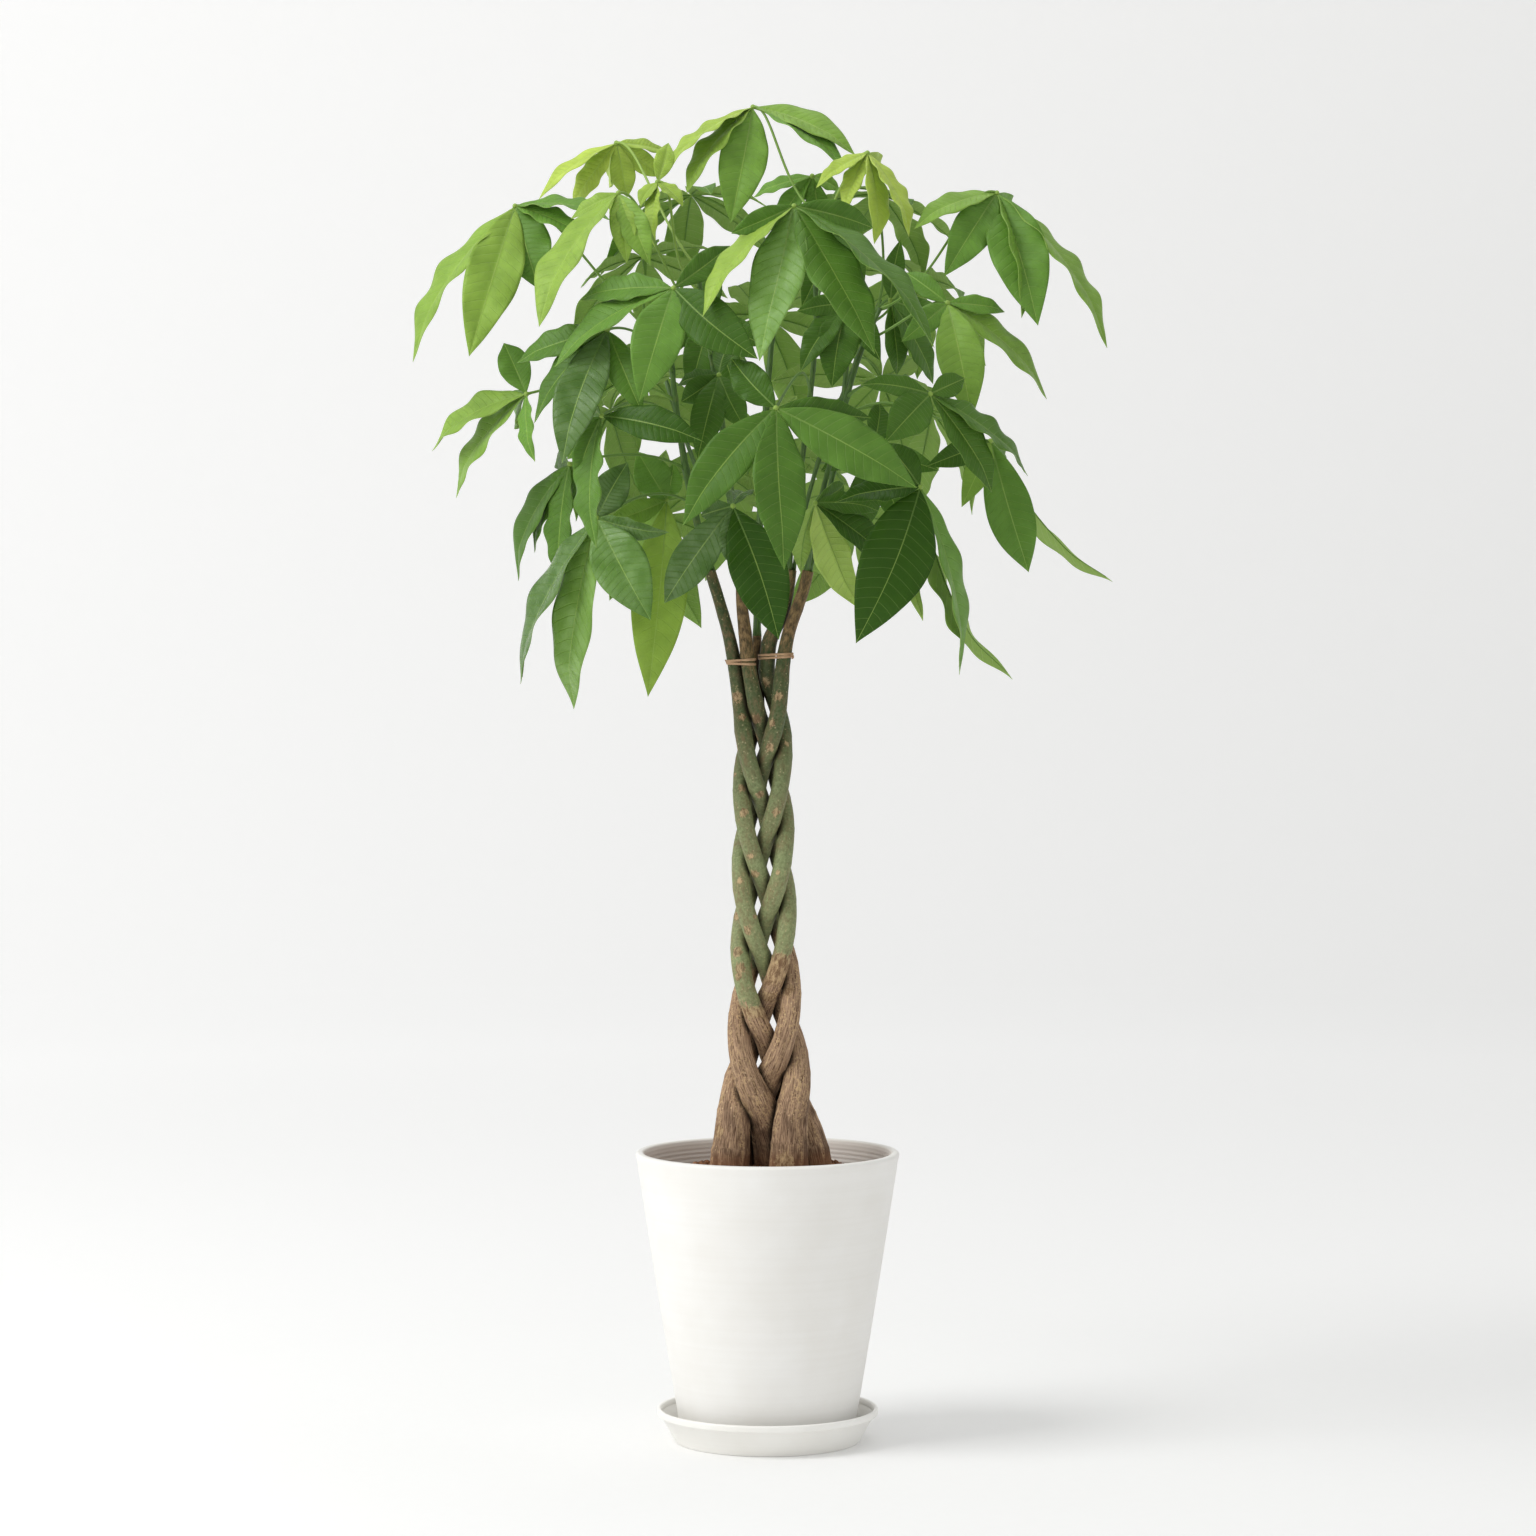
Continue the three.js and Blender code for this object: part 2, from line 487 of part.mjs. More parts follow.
// Leaves of the crown's far side. azimuth: degrees from +X towards +Y, away from the view.
const FAR_LEAVES = [
  { name: 'leaf_30', azimuth: 91, reach: 320, height: 1300, on: ['shoot_3', 330], size: 165, turn: 10 },
  { name: 'leaf_31', azimuth: 118, reach: 310, height: 1230, on: ['shoot_7', 380], size: 150, turn: 40 },
  { name: 'leaf_32', azimuth: 64, reach: 310, height: 1220, on: ['shoot_8', 350], size: 155, turn: 0 },
  { name: 'leaf_33', azimuth: 127, reach: 245, height: 1360, on: ['shoot_7', 330], size: 135, turn: 20 },
  { name: 'leaf_34', azimuth: 50, reach: 272, height: 1335, on: ['shoot_8', 310], size: 135, turn: 30 },
  { name: 'leaf_35', azimuth: 92, reach: 330, height: 1135, on: ['shoot_3', 440], size: 170, turn: 25 },
  { name: 'leaf_36', azimuth: 117, reach: 275, height: 1058, on: ['shoot_7', 470], size: 145, turn: 5 },
  { name: 'leaf_37', azimuth: 67, reach: 270, height: 1060, on: ['shoot_8', 460], size: 140, turn: 15 },
  { name: 'leaf_38', azimuth: 88, reach: 190, height: 1060, on: ['shoot_3', 530], size: 130, turn: 40 },
  { name: 'leaf_39', azimuth: 118, reach: 190, height: 1430, on: ['shoot_3', 250], size: 145, turn: 5 },
  { name: 'leaf_40', azimuth: 144, reach: 225, height: 1178, on: ['shoot_7', 420], size: 140, turn: 30 },
  { name: 'leaf_41', azimuth: 36, reach: 235, height: 1178, on: ['shoot_8', 410], size: 140, turn: 20 },
  { name: 'leaf_42', azimuth: 45, reach: 185, height: 1428, on: ['shoot_8', 305], size: 130, turn: 45 },
];

const FAR_LEAFLETS = 6;
const FAR_FAN_ANGLE = 300;          // degrees that the far leaves' leaflets spread over
const FAR_DROOP = THREE.MathUtils.degToRad(24);

function crownNormal(hub) {
  const normal = new THREE.Vector3().subVectors(hub, CROWN_HEART).normalize();
  normal.z += 0.35;
  return normal.normalize();
}

// How far behind the hub a seen leaflet's tip lies, so that the leaflet droops from the normal.
function tipDepth(hub, normal, tipColumn, tipRow) {
  const flat = fromView(tipColumn, tipRow, hub.y).sub(hub);
  const span = flat.length();
  const facing = hub.y > 20 ? Math.max(normal.y, 0.5) : Math.min(normal.y, -0.5);
  const depth = -(normal.x * flat.x + normal.z * flat.z + 0.25 * span) / facing;
  return THREE.MathUtils.clamp(depth, -0.45 * span, 0.45 * span);
}

// A leaflet as { tip, width, normal }, from the width at which the view shows it.
function seenLeaflet(hub, normal, [column, row, seenWidth, depth]) {
  const tip = fromView(column, row, hub.y + (depth ?? tipDepth(hub, normal, column, row)));
  const chord = new THREE.Vector3().subVectors(tip, hub);
  const shown = seenWidth * pixelSize(tip.y);
  const width = Math.max(shown, THREE.MathUtils.clamp(LEAFLET_SLENDERNESS * chord.length(), 22, 62));
  chord.normalize();
  const inPlane = new THREE.Vector3().crossVectors(chord, DEPTH_AXIS).normalize();
  const facing = new THREE.Vector3().crossVectors(inPlane, chord);
  if (facing.y > 0) facing.negate();
  const cosine = Math.min(shown / width, 1);
  const sine = Math.sqrt(1 - cosine * cosine) * (inPlane.dot(normal) < 0 ? -1 : 1);
  const face = facing.multiplyScalar(cosine).addScaledVector(inPlane, sine);
  return { tip, width, normal: face.normalize() };
}

function farLeaflets(hub, normal, size, turn) {
  const first = new THREE.Vector3().crossVectors(normal, UP).normalize();
  const second = new THREE.Vector3().crossVectors(normal, first);
  const leaflets = [];
  for (let k = 0; k < FAR_LEAFLETS; k += 1) {
    const fan = FAR_FAN_ANGLE * (k / (FAR_LEAFLETS - 1) - 0.5) + turn - 20;
    const angle = THREE.MathUtils.degToRad(fan);
    const middle = Math.cos(Math.PI * (k / (FAR_LEAFLETS - 1) - 0.5));
    const length = size * (0.68 + 0.32 * middle);
    const out = second.clone().multiplyScalar(Math.cos(angle)).addScaledVector(first, Math.sin(angle));
    const tip = hub.clone().addScaledVector(out, length * Math.cos(FAR_DROOP))
      .addScaledVector(normal, -length * Math.sin(FAR_DROOP));
    leaflets.push({ tip, width: LEAFLET_SLENDERNESS * length, normal: normal.clone() });
  }
  return leaflets;
}

// A leaflet blade: a thin folded diamond section that runs from the hub to a pointed tip.
function bladeGeometry(hub, leaflet) {
  const chord = new THREE.Vector3().subVectors(leaflet.tip, hub);
  const length = chord.length();
  const along = chord.clone().normalize();
  const face = leaflet.normal.clone();
  face.addScaledVector(along, -face.dot(along)).normalize();
  const across = new THREE.Vector3().crossVectors(along, face);
  const positions = [];
  const push = (p) => positions.push(p.x, p.y, p.z);
  push(hub);
  LEAFLET_STATIONS.forEach(([place, share]) => {
    const half = share * leaflet.width / 2;
    const thick = LEAF_THICKNESS / 2;
    const rib = hub.clone().addScaledVector(chord, place)
      .addScaledVector(face, 4 * LEAFLET_BOW * length * place * (1 - place));
    const lift = LEAFLET_FOLD * half;
    push(rib.clone().addScaledVector(face, thick));
    push(rib.clone().addScaledVector(across, half).addScaledVector(face, lift));
    push(rib.clone().addScaledVector(face, -thick));
    push(rib.clone().addScaledVector(across, -half).addScaledVector(face, lift));
  });
  push(leaflet.tip);
  const triangles = [];
  const last = 4 * LEAFLET_STATIONS.length + 1;
  for (let k = 0; k < 4; k += 1) {
    const next = (k + 1) % 4;
    triangles.push(0, 1 + next, 1 + k);
    for (let i = 0; i + 1 < LEAFLET_STATIONS.length; i += 1) {
      const a = 1 + 4 * i + k;
      const b = 1 + 4 * i + next;
      triangles.push(a, b, b + 4, a, b + 4, a + 4);
    }
    triangles.push(last, last - 4 + k, last - 4 + next);
  }
  return solidFromTriangles(positions, triangles);
}

// The petiole leaves its shoot outwards and upwards and arches over to the hub.
function petioleGeometry(hub, [shoot, row]) {
  const node = shootAt(shoot, fromView(VIEW_AXIS_COLUMN, row, 0).z);
  const out = new THREE.Vector3(hub.x - node.centre.x, hub.y - node.centre.y, 0);
  out.addScaledVector(node.along, -out.dot(node.along)).normalize();
  const start = node.centre.clone().addScaledVector(out, node.radius + 0.8 * PETIOLE_RADIUS);
  const span = start.distanceTo(hub);
  const rise = out.clone().multiplyScalar(0.75).addScaledVector(node.along, 0.66);
  const curve = new THREE.CubicBezierCurve3(
    start,
    start.clone().addScaledVector(rise, 0.38 * span),
    hub.clone().addScaledVector(out, -0.2 * span).addScaledVector(UP, 0.02 * span),
    hub);
  const stations = [];
  for (let i = 0; i <= PETIOLE_SPANS; i += 1) {
    stations.push({ centre: curve.getPoint(i / PETIOLE_SPANS), radius: PETIOLE_RADIUS });
  }
  return taperedTube(stations, 5);
}

function leafGeometry(leaf) {
  const seen = leaf.tips !== undefined;
  let hub;
  if (seen) {
    hub = fromView(...leaf.hub);
  } else {
    const azimuth = THREE.MathUtils.degToRad(leaf.azimuth);
    hub = new THREE.Vector3(leaf.reach * Math.cos(azimuth), leaf.reach * Math.sin(azimuth), leaf.height);
  }
  const normal = crownNormal(hub);
  const leaflets = seen
    ? leaf.tips.map((tip) => seenLeaflet(hub, normal, tip))
    : farLeaflets(hub, normal, leaf.size, leaf.turn);
  const swelling = new THREE.OctahedronGeometry(HUB_RADIUS).translate(hub.x, hub.y, hub.z);
  let solid = toManifold(swelling).add(toManifold(petioleGeometry(hub, leaf.on)));
  leaflets.forEach((leaflet) => {
    solid = solid.add(toManifold(bladeGeometry(hub, leaflet)));
  });
  // Leaflets that cross close to the hub can shut in a small pocket: the outer skin alone is kept.
  const skins = solid.simplify(0.02).decompose();
  return fromManifold(skins.reduce((best, skin) => (skin.volume() > best.volume() ? skin : best)));
}

// ---------------------------------------------------------------- assembly

const moneyTree = new THREE.Group();

function addPiece(name, geometry, material) {
  const piece = new THREE.Mesh(geometry, material);
  piece.name = name;
  moneyTree.add(piece);
}

addPiece('saucer', saucerGeometry(), glazedWhite());
addPiece('pot', potGeometry(), glazedWhite());
addPiece('soil', soilGeometry(TRUNKS), bakedClay());
TRUNKS.forEach((trunk) => {
  addPiece(trunk.name, taperedTube(trunkStations(trunk), TRUNK_SIDES), bark());
});
TIES.forEach((tie) => addPiece(tie.name, tieGeometry(tie), raffia()));
SHOOTS.forEach((shoot) => {
  addPiece(shoot.name, taperedTube(shootStations(shoot), SHOOT_SIDES), greenStem());
});
[...SEEN_LEAVES, ...FAR_LEAVES].forEach((leaf) => addPiece(leaf.name, leafGeometry(leaf), leafGreen()));

export default moneyTree;
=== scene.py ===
import bisect
import math
import random
from functools import partial

import bmesh
import bpy
from mathutils import Matrix, Vector, noise


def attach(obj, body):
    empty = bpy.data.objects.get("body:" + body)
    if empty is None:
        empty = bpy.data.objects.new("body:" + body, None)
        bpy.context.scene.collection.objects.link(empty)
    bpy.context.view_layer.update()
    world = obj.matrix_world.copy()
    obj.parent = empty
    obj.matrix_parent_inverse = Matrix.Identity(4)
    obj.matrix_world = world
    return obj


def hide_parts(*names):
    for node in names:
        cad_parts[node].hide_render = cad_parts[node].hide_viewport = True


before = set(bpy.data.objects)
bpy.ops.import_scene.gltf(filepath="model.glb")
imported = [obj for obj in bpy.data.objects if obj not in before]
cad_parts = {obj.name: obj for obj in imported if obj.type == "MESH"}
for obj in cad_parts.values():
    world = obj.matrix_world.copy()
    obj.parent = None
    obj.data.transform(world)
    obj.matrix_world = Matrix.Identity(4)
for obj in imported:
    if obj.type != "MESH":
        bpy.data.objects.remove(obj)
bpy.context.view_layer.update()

# A braided money tree in a tapered white pot on its saucer. Metres, +Z up, the origin under
# the middle of the saucer. Tables of the plant give millimetres, which MM turns to metres.

MM = 0.001
UP = Vector((0, 0, 1))
FULL_TURN = 2 * math.pi
GOLDEN_TURN = math.radians(137.508)  # spreads the granules evenly
WELD_GAP = 0.001 * MM               # vertices nearer than this become one

# ------------------------------------------------------------------ driving dimensions

POT_RIM_RADIUS = 150 * MM
POT_FOOT_RADIUS = 98 * MM
POT_HEIGHT = 325 * MM
POT_WALL = 8 * MM
POT_FLOOR = 12 * MM
POT_BELLY = 0.06                    # how far the wall bows out, as a share of its slope
POT_FOOT_Z = 5.3 * MM
POT_RIM_Z = POT_FOOT_Z + POT_HEIGHT
DRAIN_RADIUS = 12 * MM
LIP_RADIUS = 3.6 * MM
LIP_THICKENING = 1.8 * MM           # the wall grows this much thicker up to its lip
THROWING_RING_PITCH = 5.4 * MM      # grooves that the potter's fingers left inside the wall
THROWING_RING_DEPTH = 0.28 * MM
THROWING_RING_STEPS = 320           # profile steps down the inside
THROWING_RING_FADE = (4 * MM, 14 * MM)  # below the rim, where the rings begin
POT_WALL_STEPS = 40                 # profile steps up the outside
POT_FOOT_CURVE = 3 * MM
POT_FOOT_RING = 12 * MM             # width of the ring that the pot stands on
POT_FOOT_HOLLOW = 1.5 * MM
LIP_THICKENING_HEIGHT = 45 * MM
ROUND_STEPS = 160

SAUCER_RIM_RADIUS = 126 * MM
SAUCER_FOOT_RADIUS = 106 * MM
SAUCER_HEIGHT = 38 * MM
SAUCER_WALL = 4 * MM
SAUCER_FLOOR = 5 * MM
SAUCER_LIP_HEIGHT = 8 * MM

SOIL_WALL_Z = 292.3 * MM
SOIL_TOP_Z = 311.3 * MM
SOIL_MOUND_RADIUS = 95 * MM
SOIL_CLEARANCE = 0.6 * MM           # from the pot's wall
SOIL_FLOOR_CLEARANCE = 0.3 * MM
SOIL_FLOOR_INSET = 5 * MM
GRANULE_COUNT = 3000
GRANULE_BATCH = 40
GRANULE_RADII = (1.5 * MM, 3.1 * MM)
GRANULE_COVER = 1.4 * MM            # the bed of fines lies this far under their middles
GRANULE_GRAIN = 420                 # lumps in a metre of a granule's skin
GRANULE_LUMPINESS = 0.22            # this and the next four are shares of a granule's size
GRANULE_SCATTER = 0.6
GRANULE_LEVELS = (-0.2, 0.9)        # of their middles, over the soil's height
GRANULE_STRETCH = (0.75, 1.15)
GRANULE_OVERLAP = 0.3               # how far a granule may reach into a trunk
BED_RINGS = 24

# heights and lengths of the braid in mm, and angles in degrees
TRUNK_FOOT_Z = 192
BRAID_TOP_Z = 846
BRAID_PITCH = 446                   # height of one whole turn
BRAID_START_ANGLE = 54
BRAID_TURN_Z = 836                  # above this the turning dies away
BRAID_SLOW_Z = 390                  # and below this
BRAID_RUN_OUT_TOP = 18
BRAID_RUN_OUT_FOOT = 40
BRAID_SQUARENESS = 0.1              # flattens the figure of eight
BRAID_STEP = 22
STRAND_SPACING = 72                 # between one strand and the next
REAR_LAG = math.radians(8)          # a strand crosses the braid's back a little lower down
TRUNK_SIDES = 48
TRUNK_STATIONS = 260
TRUNK_LUMPINESS = 0.045             # this and the next three are shares of the radius
CORK_LUMPINESS = 0.03
KNOT_SWELLING = 0.035
JOINT_SWELLING = 0.22               # of a green shoot under a leaf stalk, and at its own foot
TRUNK_LUMP_LENGTH = 34 * MM
CORK_LUMP_LENGTH = 26 * MM
CORKY_FOOT = (0.26, 0.40)           # metres up a trunk, where its cork starts to thin, and ends
KNOT_HEIGHT = 3.2 * MM
SCAR_SPACING = 41 * MM              # between a trunk's leaf scars
SCAR_RADIUS = 5.5 * MM
LEAF_TURN = math.radians(137.5)     # the plant sets each leaf this far round from the last
CREVICE_GAPS = (0.5 * MM, 10 * MM)  # painted shade and dirt are full at the first distance to another trunk
GREENING_HEIGHT = 60                # mm over which the bark turns from brown to green
FLUSH_FROM_TOP = (60 * MM, 125 * MM)  # where the brown above the ties starts to fade, and ends

TRUNK_TOP_STATIONS = 8              # they give the heading of a trunk's cut top
SHOOT_STUB = 7 * MM
SHOOT_LUMPINESS = 0.05
SHOOT_LUMP_LENGTH = 20 * MM
CALLUS_HEIGHT = 6 * MM              # of the swelling at its foot
JOINT_HEIGHT = 4 * MM
SHOOT_SIDES = 18
SHOOT_STATIONS = 110

PETIOLE_RADIUS = 1.5 * MM
PULVINUS_RADIUS = 2.5 * MM          # the swelling at either end of a petiole
PULVINUS_LENGTH = 5 * MM
HUB_PULVINUS = 0.7                  # its swelling, as a share of the one on the shoot
PETIOLE_SINK = 0.8                  # it starts at this share of the shoot's radius
PETIOLE_START = (0.75, 0.66)        # its first heading: outwards, and along the shoot
PETIOLE_HOLD = (0.38, 0.2)          # how far either end keeps its heading, as shares of its span
PETIOLE_ARCH = 0.02
HUB_RADIUS = 3 * MM
HUB_TONE = 0.9
PETIOLE_SIDES = 8
PETIOLE_STATIONS = 30

BLADE_THICKNESS = 0.45 * MM
BLADE_SLENDERNESS = 0.33            # width over length
BLADE_WIDTHS = (22 * MM, 62 * MM)   # a leaflet is never narrower or wider, seen face on
BLADE_BOW = 0.06
MIDRIB_RADII = (1.15 * MM, 0.25 * MM)  # at the hub and at the tip
MIDRIB_DROP = 0.7 * MM              # of its middle below the blade
MIDRIB_SIDES = 6
MIDRIB_STEPS = 24
VEINS = 16                          # pairs of side veins on a leaflet
VEIN_SWEEP = 0.10                   # how far a vein leans to the tip, as a share of the length
VEIN_STAGGER = 0.35                 # shift between the two sides' veins
QUILT_HEIGHT = 0.75 * MM            # how far the blade puffs up between its veins
NEAR_GRID = (16, 60)                # columns and rows of a leaflet in the near half
FAR_GRID = (12, 40)
UNDERSIDE_SEEN = 2                  # added to the tone of a leaflet that shows its underside

# ------------------------------------------------------------------ the photograph's view

PHOTO_SIZE = 1536
PHOTO_FOCAL = 4497                  # pixels
PHOTO_AXIS_COLUMN = 767.5
CAMERA_DISTANCE = 5.1
CAMERA_HEIGHT = 0.942
CAMERA_PITCH = math.radians(1.97)
SENSOR_WIDTH = 36


def from_view(column, row, depth):
    """The place that the photograph shows at a pixel, at a depth in mm behind the trunks."""
    reach = CAMERA_DISTANCE + depth * MM
    slope = math.tan(math.atan((PHOTO_SIZE / 2 - row) / PHOTO_FOCAL) - CAMERA_PITCH)
    across = (column - PHOTO_AXIS_COLUMN) / PHOTO_FOCAL * reach
    return Vector((across, depth * MM, CAMERA_HEIGHT + reach * slope))


def pixel_size(depth):
    return (CAMERA_DISTANCE + depth) / PHOTO_FOCAL


def make_camera():
    data = bpy.data.cameras.new("photo_camera")
    data.sensor_width = SENSOR_WIDTH
    data.lens = SENSOR_WIDTH * PHOTO_FOCAL / PHOTO_SIZE
    camera = bpy.data.objects.new("photo_camera", data)
    sideways = (PHOTO_SIZE / 2 - PHOTO_AXIS_COLUMN) / PHOTO_FOCAL * CAMERA_DISTANCE
    camera.location = (sideways, -CAMERA_DISTANCE, CAMERA_HEIGHT)
    camera.rotation_euler = (math.pi / 2 - CAMERA_PITCH, 0, 0)
    bpy.context.scene.collection.objects.link(camera)
    bpy.context.scene.camera = camera


# ------------------------------------------------------------------ materials


def linear(hex_colour):
    """An sRGB hex value as the linear colour that a shader takes."""
    channels = [int(hex_colour[i:i + 2], 16) / 255 for i in (1, 3, 5)]
    return [c / 12.92 if c <= 0.04045 else ((c + 0.055) / 1.055) ** 2.4 for c in channels] + [1]


def add_node(tree, kind, inputs, output=0, **settings):
    """A shader node with its settings. It gives one of its outputs, or all where that is None.

    Inputs are values, hex colours, or other nodes' outputs to link.
    """
    node = tree.nodes.new("ShaderNode" + kind)
    for name, value in settings.items():
        setattr(node, name, value)
    for socket, value in inputs.items():
        if isinstance(value, bpy.types.NodeSocket):
            tree.links.new(value, node.inputs[socket])
        else:
            is_colour = isinstance(value, str)
            node.inputs[socket].default_value = linear(value) if is_colour else value
    return node.outputs if output is None else node.outputs[output]


def new_material(name):
    """A material, its shader, and add_node for its tree."""
    material = bpy.data.materials.new(name)
    material.use_nodes = True
    tree = material.node_tree
    return material, tree.nodes["Principled BSDF"], partial(add_node, tree)


def finish_surface(node, shader, colour, roughness, height, bump_distance, bump_strength=1):
    """Feeds a colour, a roughness and a bump height to the shader."""
    bump = node("Bump", {"Height": height, "Distance": bump_distance, "Strength": bump_strength})
    for socket, output in (("Base Color", colour), ("Roughness", roughness), ("Normal", bump)):
        shader.id_data.links.new(output, shader.inputs[socket])


def glazed_stoneware(name, colour, shadow_colour, inside_colour, roughness):
    """Wheel-thrown stoneware under a matt white glaze: soft, chalky, with faint throwing lines.

    Inside the pot the wall takes a greyer, warmer colour: partly the clay showing through the thin
    glaze, partly painted shade tinted by the soil.
    """
    material, shader, node = new_material(name)
    place = node("TexCoord", {}, "Object")
    flat = node("VectorMath", {0: place, 1: (1, 1, 0)}, operation="MULTIPLY")
    from_axis = node("VectorMath", {0: flat}, "Value", operation="LENGTH")
    height = node("SeparateXYZ", {0: place}, 2)
    middle_of_wall = node("MapRange", {
        0: height, 1: POT_FOOT_Z, 2: POT_RIM_Z, 3: POT_FOOT_RADIUS - POT_WALL / 2,
        4: POT_RIM_RADIUS - POT_WALL / 2 - LIP_THICKENING})
    inwards = node("Math", {0: middle_of_wall, 1: from_axis}, operation="SUBTRACT")
    inside = node("MapRange", {0: inwards, 1: 1 * MM, 2: 5 * MM})
    # throwing lines 2 to 5 mm apart run round the pot, so the noise is squeezed along Z
    squeezed = node("Mapping", {"Vector": place, "Scale": (3, 3, 260)})
    lines = node("TexNoise", {"Vector": squeezed, "Scale": 1, "Detail": 3})
    cloud = node("TexNoise", {"Vector": place, "Scale": 14, "Detail": 4})
    grit = node("TexNoise", {"Vector": place, "Scale": 900, "Detail": 2})
    blend = node("Math", {0: lines, 1: 0.3, 2: cloud}, operation="MULTIPLY_ADD")
    share = node("MapRange", {0: blend, 1: 0.4, 2: 0.9})
    tint = node("Mix", {0: share, 6: shadow_colour, 7: colour}, 2, data_type="RGBA")
    # painted shade: the inside colour, partly clay under thin glaze, partly shade tinted by the
    # soil
    glazed = node("Mix", {0: inside, 6: tint, 7: inside_colour}, 2, data_type="RGBA")
    # the lines are only felt by a fingertip, so their relief is slight
    shine = node("MapRange", {0: cloud, 1: 0.3, 2: 0.7, 3: roughness - 0.06, 4: roughness + 0.06})
    relief = node("Math", {0: grit, 1: 0.18, 2: lines}, operation="MULTIPLY_ADD")
    finish_surface(node, shader, glazed, shine, relief, 0.35 * MM, 0.22)
    return material


def fired_clay_granules():
    """Fired clay substrate: dull red-brown balls, each of its own shade, full of fine pores."""
    material, shader, node = new_material("fired_clay_granules")
    place = node("TexCoord", {}, "Object")
    shade = node("Attribute", {}, "Fac", attribute_name="shade")
    pores = node("TexNoise", {"Vector": place, "Scale": 700, "Detail": 3})
    base = node("Mix", {0: shade, 6: "#4A2C1C", 7: "#A8744A"}, 2, data_type="RGBA")
    dusty = node("MapRange", {0: pores, 1: 0.4, 2: 0.7, 4: 0.5})
    tint = node("Mix", {0: dusty, 6: base, 7: "#805638"}, 2, data_type="RGBA")
    shine = node("MapRange", {0: pores, 3: 0.85, 4: 1})
    finish_surface(node, shader, tint, shine, pores, 0.5 * MM)
    return material


def green_bark(node, height, mottle, cloud, flakes, pores):
    """The colour of the young bark above: mottled green with cork and pores showing through, under
    painted shade and light by height.
    """
    share = node("MapRange", {0: mottle, 1: 0.30, 2: 0.66})
    fresh = node("Mix", {0: share, 6: "#4E5E3A", 7: "#8C9E6C"}, 2, data_type="RGBA")
    # painted shade and light: the green is darkened near the ties, where the crown shades it, and
    # painted lighter, a greyish olive, down towards the brown, where more light reaches it
    down = node("MapRange", {0: height, 1: 0.82, 2: 0.64})
    painted_height_shade_colour = node("Mix", {0: down, 6: "#2B381A", 7: "#B0AA7E"}, 2, data_type="RGBA")
    painted_height_shade_share = node("MapRange", {0: height, 1: 0.70, 2: 0.90, 3: 0.24, 4: 0.82})
    olive = node("Mix", {0: painted_height_shade_share, 6: fresh, 7: painted_height_shade_colour}, 2, data_type="RGBA")
    # corky brown shows through the green in loose clouds of fine specks
    cork_cloud = node("MapRange", {0: cloud, 1: 0.38, 2: 0.60, 4: 0.62})
    cork_specks = node("MapRange", {0: flakes, 1: 0.40, 2: 0.62})
    cork = node("Math", {0: cork_cloud, 1: cork_specks}, operation="MULTIPLY")
    dull = node("Mix", {0: cork, 6: olive, 7: "#80644A"}, 2, data_type="RGBA")
    return node("Mix", {0: pores, 6: dull, 7: "#ABA27A"}, 2, data_type="RGBA")


def brown_bark(node, straight, height, mottle, cloud, fibre, pores):
    """The colour of the old bark below: fibrous brown with tan flecks, and stained by the soil."""
    share = node("MapRange", {0: fibre, 1: 0.34, 2: 0.62})
    brown = node("Mix", {0: share, 6: "#543C2C", 7: "#BE9E80"}, 2, data_type="RGBA")
    # stains and patches of flecks follow the grain, some 60 mm long
    drawn_out = node("Mapping", {"Vector": straight, "Scale": (75, 75, 16)})
    streak = node("TexNoise", {"Vector": drawn_out, "Scale": 1, "Detail": 5})
    fleck_cloud = node("MapRange", {0: streak, 1: 0.42, 2: 0.58, 4: 0.75})
    fleck_spots = node("MapRange", {0: mottle, 1: 0.50, 2: 0.57})
    flecks = node("Math", {0: fleck_cloud, 1: fleck_spots}, operation="MULTIPLY")
    flaked = node("Mix", {0: flecks, 6: brown, 7: "#CDAE83"}, 2, data_type="RGBA")
    pored = node("Mix", {0: pores, 6: flaked, 7: "#D6BC94"}, 2, data_type="RGBA")
    # the bark darkens and stains where it stays damp, near the soil
    damp = node("MapRange", {0: height, 1: 0.46, 2: 0.33, 3: 0.40, 4: 0.57})
    patches = node("Math", {0: streak, 1: cloud}, operation="ADD")
    stain = node("Math", {0: patches, 1: -0.5, 2: damp}, operation="MULTIPLY_ADD")
    stain_share = node("MapRange", {0: stain, 1: 0.0, 2: 0.12, 4: 0.7})
    stained = node("Mix", {0: stain_share, 6: pored, 7: "#3E2A1E"}, 2, data_type="RGBA")
    # and turns rusty in the last centimetre above it
    rust = node("MapRange", {0: height, 1: 0.336, 2: 0.322, 4: 0.3})
    return node("Mix", {0: rust, 6: stained, 7: "#A96F47"}, 2, data_type="RGBA")


